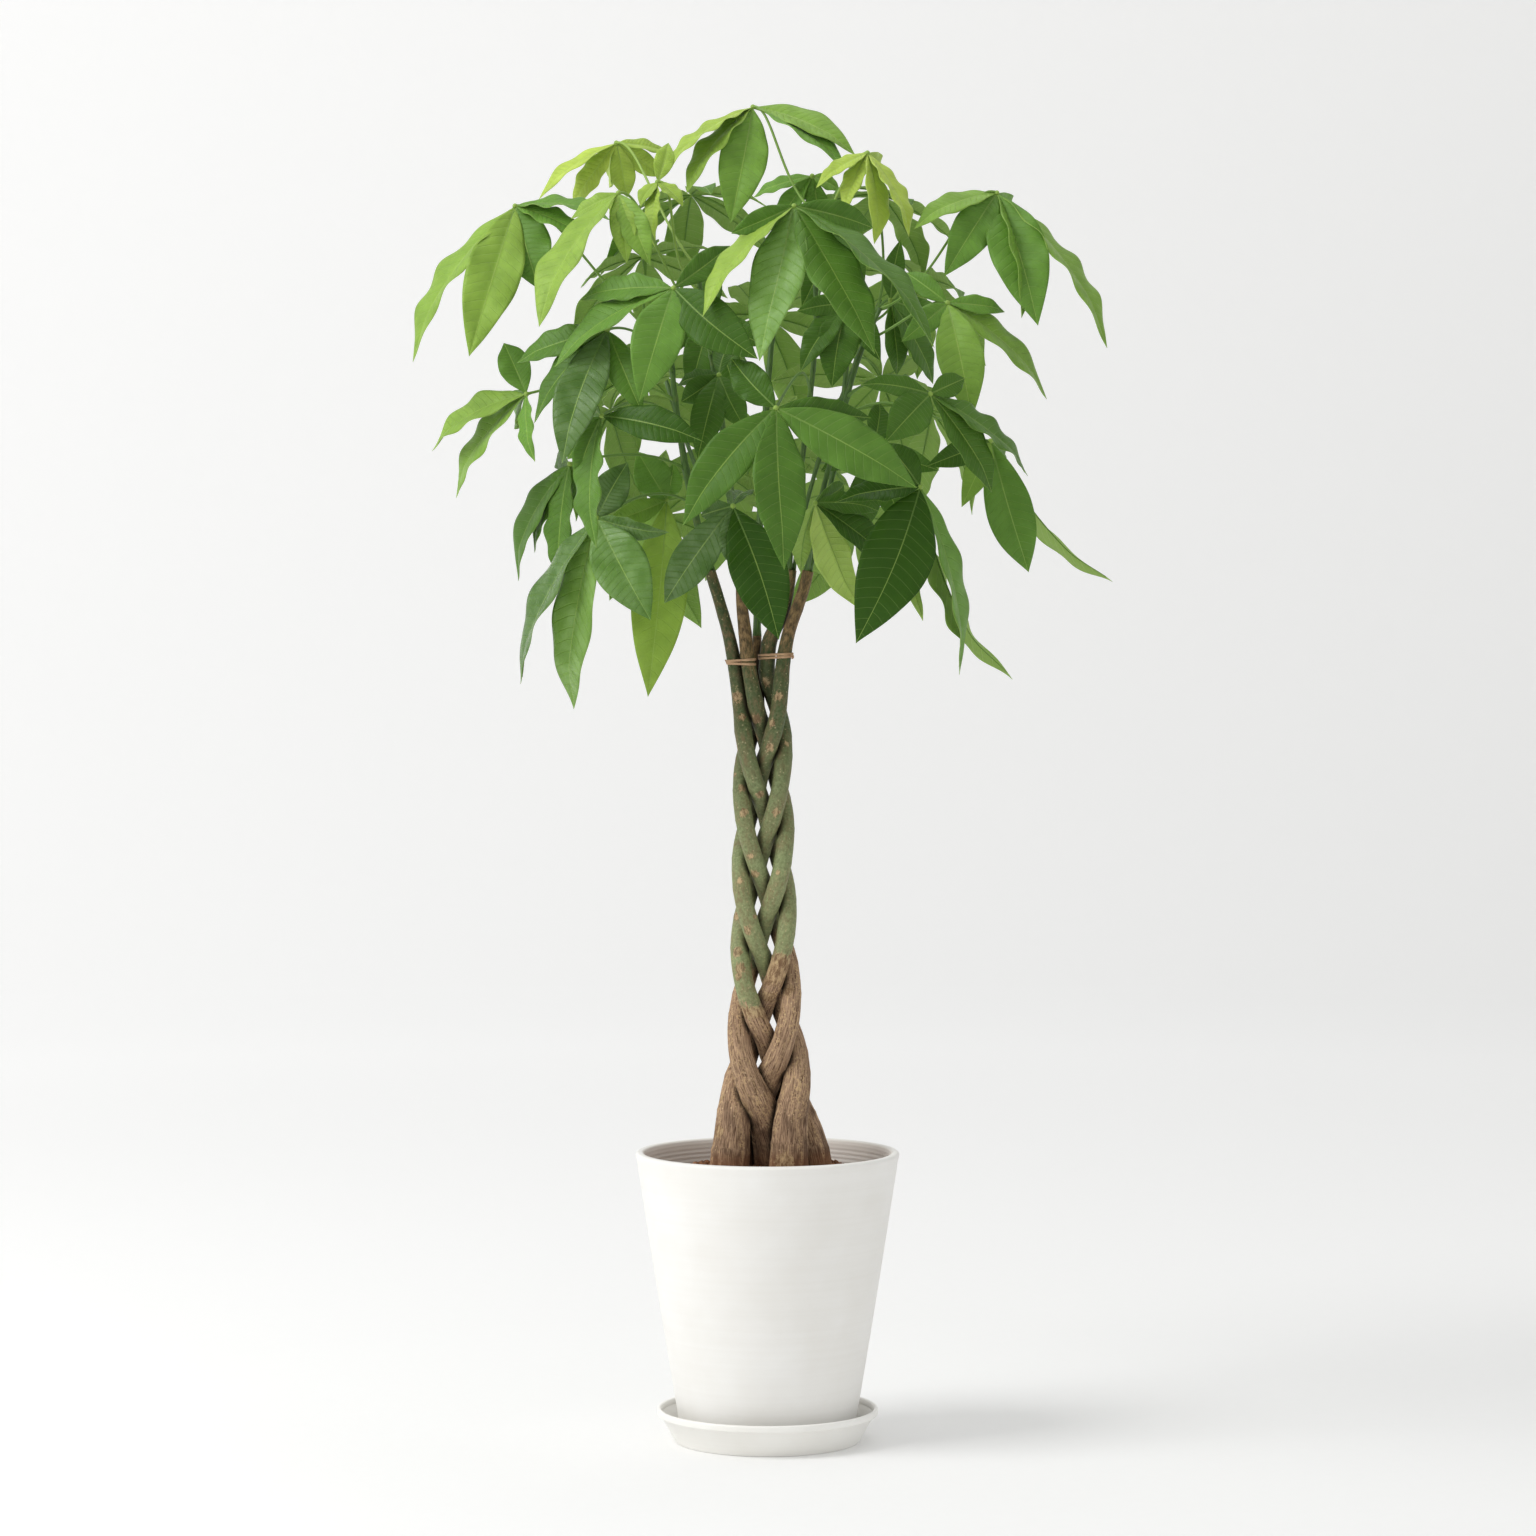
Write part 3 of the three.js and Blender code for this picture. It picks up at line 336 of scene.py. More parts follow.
def money_tree_bark():
    """Bark of a young tree: smooth and waxy green above, fibrous, cracked and brown below."""
    material, shader, node = new_material("money_tree_bark")
    shader.inputs["Specular IOR Level"].default_value = 0.26
    place = node("TexCoord", {}, "Object")
    height = node("SeparateXYZ", {0: place}, 2)
    straight = node("Attribute", {}, "Vector", attribute_name="straight")
    marks = node("Attribute", {}, "Vector", attribute_name="marks")
    greenness, scar, flush = node("SeparateXYZ", {0: marks}, None)
    cloud = node("TexNoise", {"Vector": straight, "Scale": 34, "Detail": 5})
    mottle = node("TexNoise", {"Vector": straight, "Scale": 330, "Detail": 5, "Roughness": 0.65})
    # fibres 1 mm across and some 20 mm long run up the trunk
    stretched = node("Mapping", {"Vector": straight, "Scale": (900, 900, 40)})
    fibre = node("TexNoise", {"Vector": stretched, "Scale": 1, "Detail": 4, "Roughness": 0.6})
    flaky = node("Mapping", {"Vector": straight, "Scale": (250, 250, 110)})
    flakes = node("TexNoise", {"Vector": flaky, "Scale": 1, "Detail": 6, "Roughness": 0.72})
    # pale breathing pores, drawn 1.5 mm across so that they show
    pore = node("TexVoronoi", {"Vector": straight, "Scale": 215}, None)
    pore_mask = node("MapRange", {0: pore["Distance"], 1: 0.25, 2: 0.12})
    pore_chosen = node("MapRange", {0: pore["Color"], 1: 0.42, 2: 0.5, 4: 0.7})
    pores = node("Math", {0: pore_mask, 1: pore_chosen}, operation="MULTIPLY")
    green = green_bark(node, height, mottle, cloud, flakes, pores)
    brown = brown_bark(node, straight, height, mottle, cloud, fibre, pores)

    border = node("Math", {0: flakes, 1: 1.4, 2: greenness}, operation="MULTIPLY_ADD")
    green_mask = node(
        "MapRange", {0: border, 1: 1.05, 2: 1.35}, interpolation_type="SMOOTHSTEP")
    skin = node("Mix", {0: green_mask, 6: brown, 7: green}, 2, data_type="RGBA")
    # scars are patches of fine tan specks on brown cork, and never have a clean edge
    ragged_scar = node("Math", {0: mottle, 1: 2.4, 2: scar}, operation="MULTIPLY_ADD")
    scar_mask = node(
        "MapRange", {0: ragged_scar, 1: 1.45, 2: 1.85, 4: 0.85}, interpolation_type="SMOOTHSTEP")
    specks = node("MapRange", {0: flakes, 1: 0.42, 2: 0.6})
    scar_colour = node("Mix", {0: specks, 6: "#765A40", 7: "#C9AD84"}, 2, data_type="RGBA")
    scarred = node("Mix", {0: scar_mask, 6: skin, 7: scar_colour}, 2, data_type="RGBA")
    # above the ties the green flushes brown again
    ragged_flush = node("Math", {0: flakes, 1: 1.9, 2: flush}, operation="MULTIPLY_ADD")
    flush_mask = node("MapRange", {0: ragged_flush, 1: 1.15, 2: 1.85, 4: 0.85})
    flush_colour = node("Mix", {0: specks, 6: "#58422F", 7: "#927650"}, 2, data_type="RGBA")
    flushed = node("Mix", {0: flush_mask, 6: scarred, 7: flush_colour}, 2, data_type="RGBA")
    # painted shade and dirt: the bark is darkened in the crevices of the braid, where the trunks
    # touch
    crevice = node("Attribute", {}, "Fac", attribute_name="shade")
    grime_and_painted_shade = node("MapRange", {0: crevice, 1: 0.12, 2: 0.95, 4: 0.9})
    tint = node("Mix", {0: grime_and_painted_shade, 6: flushed, 7: "#1F170D"}, 2, data_type="RGBA")

    shine = node("MapRange", {0: green_mask, 3: 0.88, 4: 0.56})
    rough_relief = node("Math", {0: flakes, 1: 0.6, 2: fibre}, operation="MULTIPLY_ADD")
    calm_relief = node("Math", {0: mottle, 1: 0.3, 2: 0.5}, operation="MULTIPLY_ADD")
    relief = node("Mix", {0: green_mask, 2: rough_relief, 3: calm_relief}, data_type="FLOAT")
    finish_surface(node, shader, tint, shine, relief, 1.3 * MM)
    return material


def green_shoot_bark():
    """This year's wood: taut dark green skin with fine pale streaks and a dull shine."""
    material, shader, node = new_material("green_shoot_bark")
    straight = node("Attribute", {}, "Vector", attribute_name="straight")
    stretched = node("Mapping", {"Vector": straight, "Scale": (900, 900, 70)})
    streaks = node("TexNoise", {"Vector": stretched, "Scale": 1, "Detail": 4})
    cloud = node("TexNoise", {"Vector": straight, "Scale": 60, "Detail": 4})
    share = node("MapRange", {0: streaks, 1: 0.3, 2: 0.7})
    green = node("Mix", {0: share, 6: "#2A4A17", 7: "#54762F"}, 2, data_type="RGBA")
    worn = node("MapRange", {0: cloud, 1: 0.55, 2: 0.7, 4: 0.5})
    tint = node("Mix", {0: worn, 6: green, 7: "#74803F"}, 2, data_type="RGBA")
    shine = node("MapRange", {0: cloud, 3: 0.42, 4: 0.62})
    finish_surface(node, shader, tint, shine, streaks, 0.4 * MM)
    return material


def raffia_strip():
    """Dried palm leaf torn to ribbon: straw tan, with glossy fibres that run its length."""
    material, shader, node = new_material("raffia_strip")
    straight = node("Attribute", {}, "Vector", attribute_name="straight")
    stretched = node("Mapping", {"Vector": straight, "Scale": (2600, 2600, 90)})
    fibres = node("TexNoise", {"Vector": stretched, "Scale": 1, "Detail": 3})
    share = node("MapRange", {0: fibres, 1: 0.3, 2: 0.7})
    tint = node("Mix", {0: share, 6: "#8C6A4C", 7: "#CFA984"}, 2, data_type="RGBA")
    shine = node("MapRange", {0: fibres, 3: 0.5, 4: 0.75})
    finish_surface(node, shader, tint, shine, fibres, 0.4 * MM)
    return material


def leaf_pattern(node):
    """What follows a leaflet's own growth: tone, side veins, midrib, and nearness to a vein."""
    blade = node("Attribute", {}, "Vector", attribute_name="blade")
    tone = node("Attribute", {}, "Fac", attribute_name="tone")
    offset, place, phase = node("SeparateXYZ", {0: blade}, None)
    side = node("Math", {0: offset, 1: 0}, operation="GREATER_THAN")
    staggered = node("Math", {0: side, 1: VEIN_STAGGER, 2: phase}, operation="MULTIPLY_ADD")
    saw = node("Math", {0: staggered}, operation="FRACT")
    centred = node("Math", {0: saw, 1: 0.5}, operation="SUBTRACT")
    from_middle = node("Math", {0: centred}, operation="ABSOLUTE")
    vein = node("MapRange", {0: from_middle, 1: 0.43, 2: 0.495}, interpolation_type="SMOOTHSTEP")
    distance = node("Math", {0: offset}, operation="ABSOLUTE")
    limit = node("MapRange", {0: place, 3: 0.85 * MM, 4: 0.3 * MM})
    inside = node("Math", {0: distance, 1: limit}, operation="DIVIDE")
    midrib = node("MapRange", {0: inside, 1: 1.3, 2: 0.5}, interpolation_type="SMOOTHSTEP")
    return tone, vein, midrib, from_middle


def tone_colour(node, tone, dark, middle, light):
    """Deep green at tone 0, through fresh green, to yellow-green at tone 1; a high tone is partly
    painted light shining through a leaflet lit from behind.
    """
    low = node("MapRange", {0: tone, 2: 0.5})
    high = node("MapRange", {0: tone, 1: 0.5})
    older = node("Mix", {0: low, 6: dark, 7: middle}, 2, data_type="RGBA")
    return node("Mix", {0: high, 6: older, 7: light}, 2, data_type="RGBA")


def leaf_glow(shader):
    """Light that soaks into a thin leaf and comes out yellower."""
    shader.inputs["Specular IOR Level"].default_value = 0.16
    shader.inputs["Subsurface Weight"].default_value = 0.2
    shader.inputs["Subsurface Scale"].default_value = 1.5 * MM
    shader.inputs["Subsurface Radius"].default_value = (0.8, 1.0, 0.2)


def waxy_leaf_upper_side():
    """An evergreen leaf under a wax cuticle: leathery, satin, with sunken pale veins, and a painted
    sheen on the glossy ones.
    """
    material, shader, node = new_material("waxy_leaf_upper_side")
    leaf_glow(shader)
    place = node("TexCoord", {}, "Object")
    gloss_and_painted_sheen = node("Attribute", {}, "Fac", attribute_name="gloss_and_painted_sheen")
    tone, vein, midrib, between = leaf_pattern(node)
    cloud = node("TexNoise", {"Vector": place, "Scale": 45, "Detail": 4})
    cells = node("TexNoise", {"Vector": place, "Scale": 520, "Detail": 3})
    base = tone_colour(node, tone, "#2E500C", "#6D973E", "#B2C956")
    patchy = node("MapRange", {0: cloud, 1: 0.35, 2: 0.7, 4: 0.25})
    deeper = node("Mix", {0: patchy, 6: base, 7: "#264A0C"}, 2, data_type="RGBA")
    vein_share = node("Math", {0: vein, 1: 0.12}, operation="MULTIPLY")
    veined = node("Mix", {0: vein_share, 6: deeper, 7: "#A9C66E"}, 2, data_type="RGBA")
    rib_share = node("Math", {0: midrib, 1: 0.5}, operation="MULTIPLY")
    ribbed = node("Mix", {0: rib_share, 6: veined, 7: "#A6C364"}, 2, data_type="RGBA")
    # painted sheen: a pale silvery reflection is painted on the quilts between the veins of the
    # leaflets that shine
    quilt_sheen = node("MapRange", {0: between, 1: 0.48, 2: 0.30, 3: 0.07, 4: 0.16})
    sheen_fade = node("MapRange", {0: cloud, 1: 0.38, 2: 0.62, 3: 1.1, 4: 0.3})
    painted_sheen = node("Math", {0: quilt_sheen, 1: sheen_fade}, operation="MULTIPLY")
    painted_sheen_share = node("Math", {0: gloss_and_painted_sheen, 1: painted_sheen}, operation="MULTIPLY")
    with_painted_sheen = node("Mix", {0: painted_sheen_share, 6: ribbed, 7: "#B2C7A0"}, 2, data_type="RGBA")
    satin = node("MapRange", {0: cloud, 1: 0.3, 2: 0.7, 3: 0.36, 4: 0.50})
    shine = node("Math", {0: gloss_and_painted_sheen, 1: -0.16, 2: satin}, operation="MULTIPLY_ADD")
    sunk = node("Math", {0: vein, 1: -1, 2: cells}, operation="MULTIPLY_ADD")
    finish_surface(node, shader, with_painted_sheen, shine, sunk, 0.45 * MM, 0.8)
    return material


def downy_leaf_underside():
    """The leaf's underside: pale and matt, with a fine down and raised veins."""
    material, shader, node = new_material("downy_leaf_underside")
    leaf_glow(shader)
    place = node("TexCoord", {}, "Object")
    tone, vein, midrib, _ = leaf_pattern(node)
    cells = node("TexNoise", {"Vector": place, "Scale": 520, "Detail": 3})
    base = tone_colour(node, tone, "#64853F", "#92B05C", "#B4CC6E")
    ribs = node("Math", {0: vein, 1: midrib}, operation="MAXIMUM")
    share = node("Math", {0: ribs, 1: 0.3}, operation="MULTIPLY")
    tint = node("Mix", {0: share, 6: base, 7: "#C2D58C"}, 2, data_type="RGBA")
    shine = node("MapRange", {0: cells, 3: 0.58, 4: 0.74})
    raised = node("Math", {0: vein, 1: cells}, operation="ADD")
    finish_surface(node, shader, tint, shine, raised, 0.4 * MM)
    return material


def petiole_skin():
    """A leaf stalk and its ribs: smooth, pale green, faintly grooved along its length."""
    material, shader, node = new_material("petiole_skin")
    straight = node("Attribute", {}, "Vector", attribute_name="straight")
    tone = node("Attribute", {}, "Fac", attribute_name="tone")
    stretched = node("Mapping", {"Vector": straight, "Scale": (1500, 1500, 40)})
    streaks = node("TexNoise", {"Vector": stretched, "Scale": 1, "Detail": 2})
    base = tone_colour(node, tone, "#4C7023", "#6F9434", "#97B44A")
    share = node("MapRange", {0: streaks, 1: 0.35, 2: 0.7, 4: 0.4})
    tint = node("Mix", {0: share, 6: base, 7: "#3F6B2C"}, 2, data_type="RGBA")
    shine = node("MapRange", {0: streaks, 3: 0.42, 4: 0.58})
    finish_surface(node, shader, tint, shine, streaks, 0.2 * MM)
    return material


def pale_studio_paper():
    """Matt white paper with a faint grain. It glows with painted light, as if lit from behind:
    faintly near the middle, more far off, and more on the left.
    """
    material, shader, node = new_material("pale_studio_paper")
    place = node("TexCoord", {}, "Object")
    fibres = node("TexNoise", {"Vector": place, "Scale": 60, "Detail": 3})
    tint = node("Mix", {0: fibres, 6: "#ECECEB", 7: "#EEEEED"}, 2, data_type="RGBA")
    across = node("SeparateXYZ", {0: place})
    distance = node("VectorMath", {0: place}, "Value", operation="LENGTH")
    # painted light: a faint glow near the pot lifts the floor's shadow; farther off and to the left
    # it glows more
    depth = node("MapRange", {0: distance, 1: 0.9, 2: 4.6, 3: 0.08, 4: 0.255})
    slant = node("MapRange", {0: across, 1: -2.5, 2: 2.5, 3: 1.25, 4: 0.62})
    painted_glow = node("Math", {0: depth, 1: slant}, operation="MULTIPLY")
    shader.inputs["Roughness"].default_value = 0.95
    shader.inputs["Emission Color"].default_value = linear("#FFFFFF")
    for socket, output in (("Base Color", tint), ("Emission Strength", painted_glow)):
        shader.id_data.links.new(output, shader.inputs[socket])
    return material


# ------------------------------------------------------------------ shared geometry


def lerp_table(rows, x):
    """A value between the rows of a table of (place, value)."""
    if x <= rows[0][0]:
        return rows[0][1]
    for (x0, y0), (x1, y1) in zip(rows, rows[1:]):
        if x <= x1:
            return y0 + (y1 - y0) * (x - x0) / (x1 - x0)
    return rows[-1][1]


def clamp(value, low, high):
    return max(low, min(high, value))


def ease(value, low, high):
    """0 below low, 1 above high, and a smooth rise between them."""
    t = clamp((value - low) / (high - low), 0, 1)
    return t * t * (3 - 2 * t)


def catmull_rom(before, start, end, after, t):
    """A point of a centripetal Catmull-Rom curve between start and end."""
    d0, d1, d2 = (
        math.sqrt((b - a).length) for a, b in ((before, start), (start, end), (end, after)))
    leave = ((start - before) / d0 - (end - before) / (d0 + d1) + (end - start) / d1) * d1
    arrive = ((end - start) / d1 - (after - start) / (d1 + d2) + (after - end) / d2) * d1
    second = 3 * (end - start) - 2 * leave - arrive
    third = 2 * (start - end) + leave + arrive
    return start + leave * t + second * t * t + third * t ** 3


def smooth_stations(points, count):
    """Stations along a smooth curve through given (place, radius) points."""
    places = [place for place, _ in points]
    places = [2 * places[0] - places[1], *places, 2 * places[-1] - places[-2]]
    stations = []
    for i in range(count + 1):
        along = i / count * (len(points) - 1)
        low = min(int(along), len(points) - 2)
        t = along - low
        radius = points[low][1] + (points[low + 1][1] - points[low][1]) * t
        stations.append((catmull_rom(*places[low:low + 4], t), radius))
    return stations


def bezier_point(a, b, c, d, t):
    s = 1 - t
    return s ** 3 * a + 3 * s * s * t * b + 3 * s * t * t * c + t ** 3 * d


def tube(bm, stations, sides, swell=None, tone=0):
    """A closed tube through (place, radius) stations: a grid rolled up, with round ends drawn in.

    swell(angle, length) gives a share of the radius to add at a point of the skin. Each vertex
    keeps its place on the unbent tube as the attribute straight, for patterns that follow it.
    """
    straight = bm.verts.layers.float_vector["straight"]
    shade = bm.verts.layers.float["tone"]
    first, last = stations[0], stations[-1]
    rings = [(first[0], 0), (first[0], first[1] * 0.9), *stations,
             (last[0], last[1] * 0.9), (last[0], 0)]
    frames = []
    across = Vector((1, 0, 0))
    length = 0
    for i, (place, radius) in enumerate(rings):
        # the flat ends lie square to the tube's first and last steps
        ahead = stations[clamp(i - 1, 1, len(stations) - 1)][0]
        behind = stations[clamp(i - 3, 0, len(stations) - 2)][0]
        along = (ahead - behind).normalized()
        across = (across - along * across.dot(along)).normalized()
        if i:
            length += (place - rings[i - 1][0]).length
        frames.append((place, radius, across, along.cross(across), length))
    made = bmesh.ops.create_grid(
        bm, x_segments=sides, y_segments=len(rings) - 1, size=0.5, calc_uvs=True)
    for vert in made["verts"]:
        angle = FULL_TURN * (vert.co.x + 0.5)
        place, radius, right, front, length = frames[round((vert.co.y + 0.5) * (len(rings) - 1))]
        if swell:
            radius *= 1 + swell(angle, length)
        vert.co = place + right * (radius * math.cos(angle)) + front * (radius * math.sin(angle))
        vert[straight] = (radius * math.cos(angle), radius * math.sin(angle), length)
        vert[shade] = tone
    faces = {face for vert in made["verts"] for face in vert.link_faces}
    bmesh.ops.remove_doubles(bm, verts=made["verts"], dist=WELD_GAP)
    return [face for face in faces if face.is_valid]


def new_mesh():
    """An empty bmesh with the layers that the materials read."""
    bm = bmesh.new()
    bm.loops.layers.uv.new("UVMap")
    for name in ("straight", "marks", "blade"):
        bm.verts.layers.float_vector.new(name)
    for name in ("tone", "gloss_and_painted_sheen", "shade"):
        bm.verts.layers.float.new(name)
    return bm


def add_to(bm, part):
    """Adds a small bmesh to a piece's bmesh. An operator is quick only on a small one."""
    carrier = bpy.data.meshes.new("carrier")
    part.to_mesh(carrier)
    part.free()
    bm.from_mesh(carrier)
    bpy.data.meshes.remove(carrier)


def finish_object(bm, name, materials):
    """Turns a bmesh into a smooth object."""
    for face in bm.faces:
        face.smooth = True
    mesh = bpy.data.meshes.new(name)
    bm.to_mesh(mesh)
    bm.free()
    for material in materials:
        mesh.materials.append(material)
    made = bpy.data.objects.new(name, mesh)
    bpy.context.scene.collection.objects.link(made)
    return made


def finish_piece(bm, name, node, materials):
    """Turns a bmesh into a piece that stands for a CAD node."""
    piece = finish_object(bm, name, materials)
    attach(piece, "root")
    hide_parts(node)


def arc(centre_radius, centre_z, radius, start, end, steps):
    """Profile points (radius, z) round a part of a circle, from start to end in degrees."""
    angles = [math.radians(start + (end - start) * i / steps) for i in range(steps + 1)]
    return [(centre_radius + radius * math.cos(a), centre_z + radius * math.sin(a))
            for a in angles]


def spun(bm, profile, closed):
    """A profile of (radius, z) points turned about the Z axis into a closed shell."""
    verts = [bm.verts.new((radius, 0, z)) for radius, z in profile]
    pairs = list(zip(verts, verts[1:])) + ([(verts[-1], verts[0])] if closed else [])
    edges = [bm.edges.new(pair) for pair in pairs]
    bmesh.ops.spin(
        bm, geom=verts + edges, cent=(0, 0, 0), axis=(0, 0, 1), angle=FULL_TURN,
        steps=ROUND_STEPS, use_merge=True)
    bmesh.ops.remove_doubles(bm, verts=bm.verts, dist=WELD_GAP)
    bmesh.ops.recalc_face_normals(bm, faces=bm.faces)


# ------------------------------------------------------------------ pot, saucer and soil


def pot_outer_radius(height):
    """The wall's outer radius at a height over the pot's foot, on a slightly bowed slope."""
    t = clamp(height / POT_HEIGHT, 0, 1)
    slope = (1 + POT_BELLY) * t - POT_BELLY * t * t
    return POT_FOOT_RADIUS + (POT_RIM_RADIUS - POT_FOOT_RADIUS) * slope


def make_pot(material):
    """The pot's profile, from the drain hole out under the foot, up, over the lip and down."""
    bm = new_mesh()
    curve = POT_FOOT_CURVE
    profile = [(DRAIN_RADIUS, POT_FOOT_Z),
               (POT_FOOT_RADIUS - POT_FOOT_RING, POT_FOOT_Z + POT_FOOT_HOLLOW)]
    profile += arc(POT_FOOT_RADIUS - curve, POT_FOOT_Z + curve, curve, -90, -8, 6)
    for i in range(1, POT_WALL_STEPS):
        height = curve + (POT_HEIGHT - LIP_RADIUS - curve) * i / POT_WALL_STEPS
        profile.append((pot_outer_radius(height), POT_FOOT_Z + height))
    lip_z = POT_RIM_Z - LIP_RADIUS
    profile += arc(POT_RIM_RADIUS - LIP_RADIUS, lip_z, LIP_RADIUS, 0, 90, 7)
    inner_rim = POT_RIM_RADIUS - POT_WALL - LIP_THICKENING
    profile += arc(inner_rim + LIP_RADIUS, lip_z, LIP_RADIUS, 100, 180, 7)
    steps = THROWING_RING_STEPS
    for i in range(1, steps):
        height = POT_HEIGHT - LIP_RADIUS - (POT_HEIGHT - LIP_RADIUS - POT_FLOOR) * i / steps
        # no two throwing rings are quite as far apart
        wander = 0.35 * math.sin(height / (23 * MM))
        ring = math.sin(FULL_TURN * (height / THROWING_RING_PITCH + wander))
        fade = ease(POT_HEIGHT - height, *THROWING_RING_FADE)
        thick_from = POT_HEIGHT - LIP_THICKENING_HEIGHT
        thickening = LIP_THICKENING * ease(height, thick_from, POT_HEIGHT)
        inner = pot_outer_radius(height) - POT_WALL - thickening
        profile.append((inner + THROWING_RING_DEPTH * ring * fade, POT_FOOT_Z + height))
    profile.append((DRAIN_RADIUS, POT_FOOT_Z + POT_FLOOR))
    spun(bm, profile, closed=True)
    finish_piece(bm, "tapered_pot", "pot", [material])


def make_saucer(material):
    """The saucer's profile, from the middle of its foot up over the rolled lip to its floor."""
    bm = new_mesh()
    foot_curve = 2 * MM
    shoulder = 1.8 * MM
    roll = 2.4 * MM
    ledge = 2 * MM
    floor_curve = 5 * MM
    lip_z = SAUCER_HEIGHT - roll
    lip_foot = SAUCER_HEIGHT - SAUCER_LIP_HEIGHT
    profile = [(0, 0)]
    profile += arc(SAUCER_FOOT_RADIUS - foot_curve, foot_curve, foot_curve, -90, -20, 5)
    profile.append((SAUCER_RIM_RADIUS - SAUCER_WALL - 1.4 * MM, lip_foot - 2 * MM))
    profile += arc(SAUCER_RIM_RADIUS - shoulder, lip_foot + shoulder, shoulder, -80, 0, 5)
    profile += arc(SAUCER_RIM_RADIUS - roll, lip_z, roll, 0, 180, 12)
    profile += arc(SAUCER_RIM_RADIUS - 2 * roll - 3 * MM, lip_z - 4 * MM, ledge, 40, -20, 4)
    floor_z = SAUCER_FLOOR + floor_curve
    profile += arc(SAUCER_FOOT_RADIUS - 8 * MM, floor_z, floor_curve, -10, -90, 6)
    profile.append((0, SAUCER_FLOOR))
    spun(bm, profile, closed=False)
    finish_piece(bm, "glazed_saucer", "saucer", [material])


def soil_height(radius):
    """The soil's height at a distance from the middle: a low mound that meets the wall."""
    rim = pot_outer_radius(SOIL_WALL_Z - POT_FOOT_Z) - POT_WALL
    fall = ease(radius, SOIL_MOUND_RADIUS * 0.85, rim)
    return SOIL_TOP_Z - (SOIL_TOP_Z - SOIL_WALL_Z) * fall


def add_granule(batch, number, rim, trunk_feet, rng):
    """A lumpy ball of its own size and shade, unless a trunk stands in its place."""
    radius = rim * math.sqrt((number + 0.5) / GRANULE_COUNT)
    angle = number * GOLDEN_TURN
    size = rng.uniform(*GRANULE_RADII)
    place = Vector((radius * math.cos(angle), radius * math.sin(angle), 0))
    place += Vector((rng.uniform(-1, 1), rng.uniform(-1, 1), 0)) * size * GRANULE_SCATTER
    reach = min(place.length, rim - size)
    place = place.normalized() * reach
    place.z = soil_height(reach) + rng.uniform(*GRANULE_LEVELS) * size
    overlap = GRANULE_OVERLAP * size
    if any((place.xy - foot.xy).length < thick - overlap for foot, thick in trunk_feet):
        return
    stretch = Matrix.Diagonal((*[rng.uniform(*GRANULE_STRETCH) * size for _ in range(3)], 1))
    turn = Matrix.Rotation(rng.uniform(0, math.pi), 4, Vector((rng.random(), 1, 0.3)))
    made = bmesh.ops.create_uvsphere(
        batch, u_segments=7, v_segments=4, radius=1,
        matrix=Matrix.Translation(place) @ turn @ stretch)
    shade = batch.verts.layers.float["shade"]
    own_shade = clamp(rng.gauss(0.45, 0.25), 0, 1)
    for vert in made["verts"]:
        vert.co += noise.noise_vector(vert.co * GRANULE_GRAIN) * size * GRANULE_LUMPINESS
        vert[shade] = own_shade


def make_soil(material, trunks):
    """A bed of fines under a layer of granules, in a low mound round the trunks."""
    rng = random.Random("granules")
    noise.seed_set(1)  # else noise_vector follows the clock
    bm = new_mesh()
    rim = pot_outer_radius(SOIL_WALL_Z - POT_FOOT_Z) - POT_WALL - SOIL_CLEARANCE
    bottom = POT_FOOT_Z + POT_FLOOR + SOIL_FLOOR_CLEARANCE
    bottom_radius = pot_outer_radius(POT_FLOOR) - POT_WALL - SOIL_FLOOR_INSET
    profile = [(0, bottom), (bottom_radius, bottom), (rim, SOIL_WALL_Z - GRANULE_COVER)]
    for i in range(1, BED_RINGS + 1):
        radius = rim * (1 - i / BED_RINGS)
        profile.append((radius, soil_height(radius) - GRANULE_COVER))
    spun(bm, profile, closed=False)
    trunk_feet = [min(trunk, key=lambda station: abs(station[0].z - SOIL_TOP_Z))
                  for trunk in trunks]
    for first in range(0, GRANULE_COUNT, GRANULE_BATCH):
        batch = new_mesh()
        for number in range(first, first + GRANULE_BATCH):
            add_granule(batch, number, rim, trunk_feet, rng)
        add_to(bm, batch)
    finish_piece(bm, "granule_soil", "soil", [material])


# ------------------------------------------------------------------ braided trunks

BRAID_HALF_WIDTH = [
    (230, 52), (308, 52), (345, 45), (383, 37.4), (440, 33.5), (495, 30.5), (551, 28.5),
    (607, 27), (665, 26), (750, 24.3), (835, 23.5), (882, 23)]
STRAND_FULLNESS = [
    (308, 1.18), (345, 1.18), (383, 1.24), (440, 1.10), (495, 1.05), (750, 1.05), (820, 1.14),
    (846, 1.16)]
BRAID_HALF_DEPTH = [(308, 31), (383, 26), (440, 23), (551, 20), (835, 19)]
STRAND_RADIUS = [
    (230, 19), (308, 19.6), (330, 18.6), (345, 17.6), (383, 14.8), (440, 12.3), (495, 10.9),
    (551, 10.1), (607, 9.8), (665, 9.6), (750, 9.3), (820, 8.6), (846, 7.9)]
BRAID_CENTRE_COLUMN = [(300, 769), (600, 764), (880, 762)]

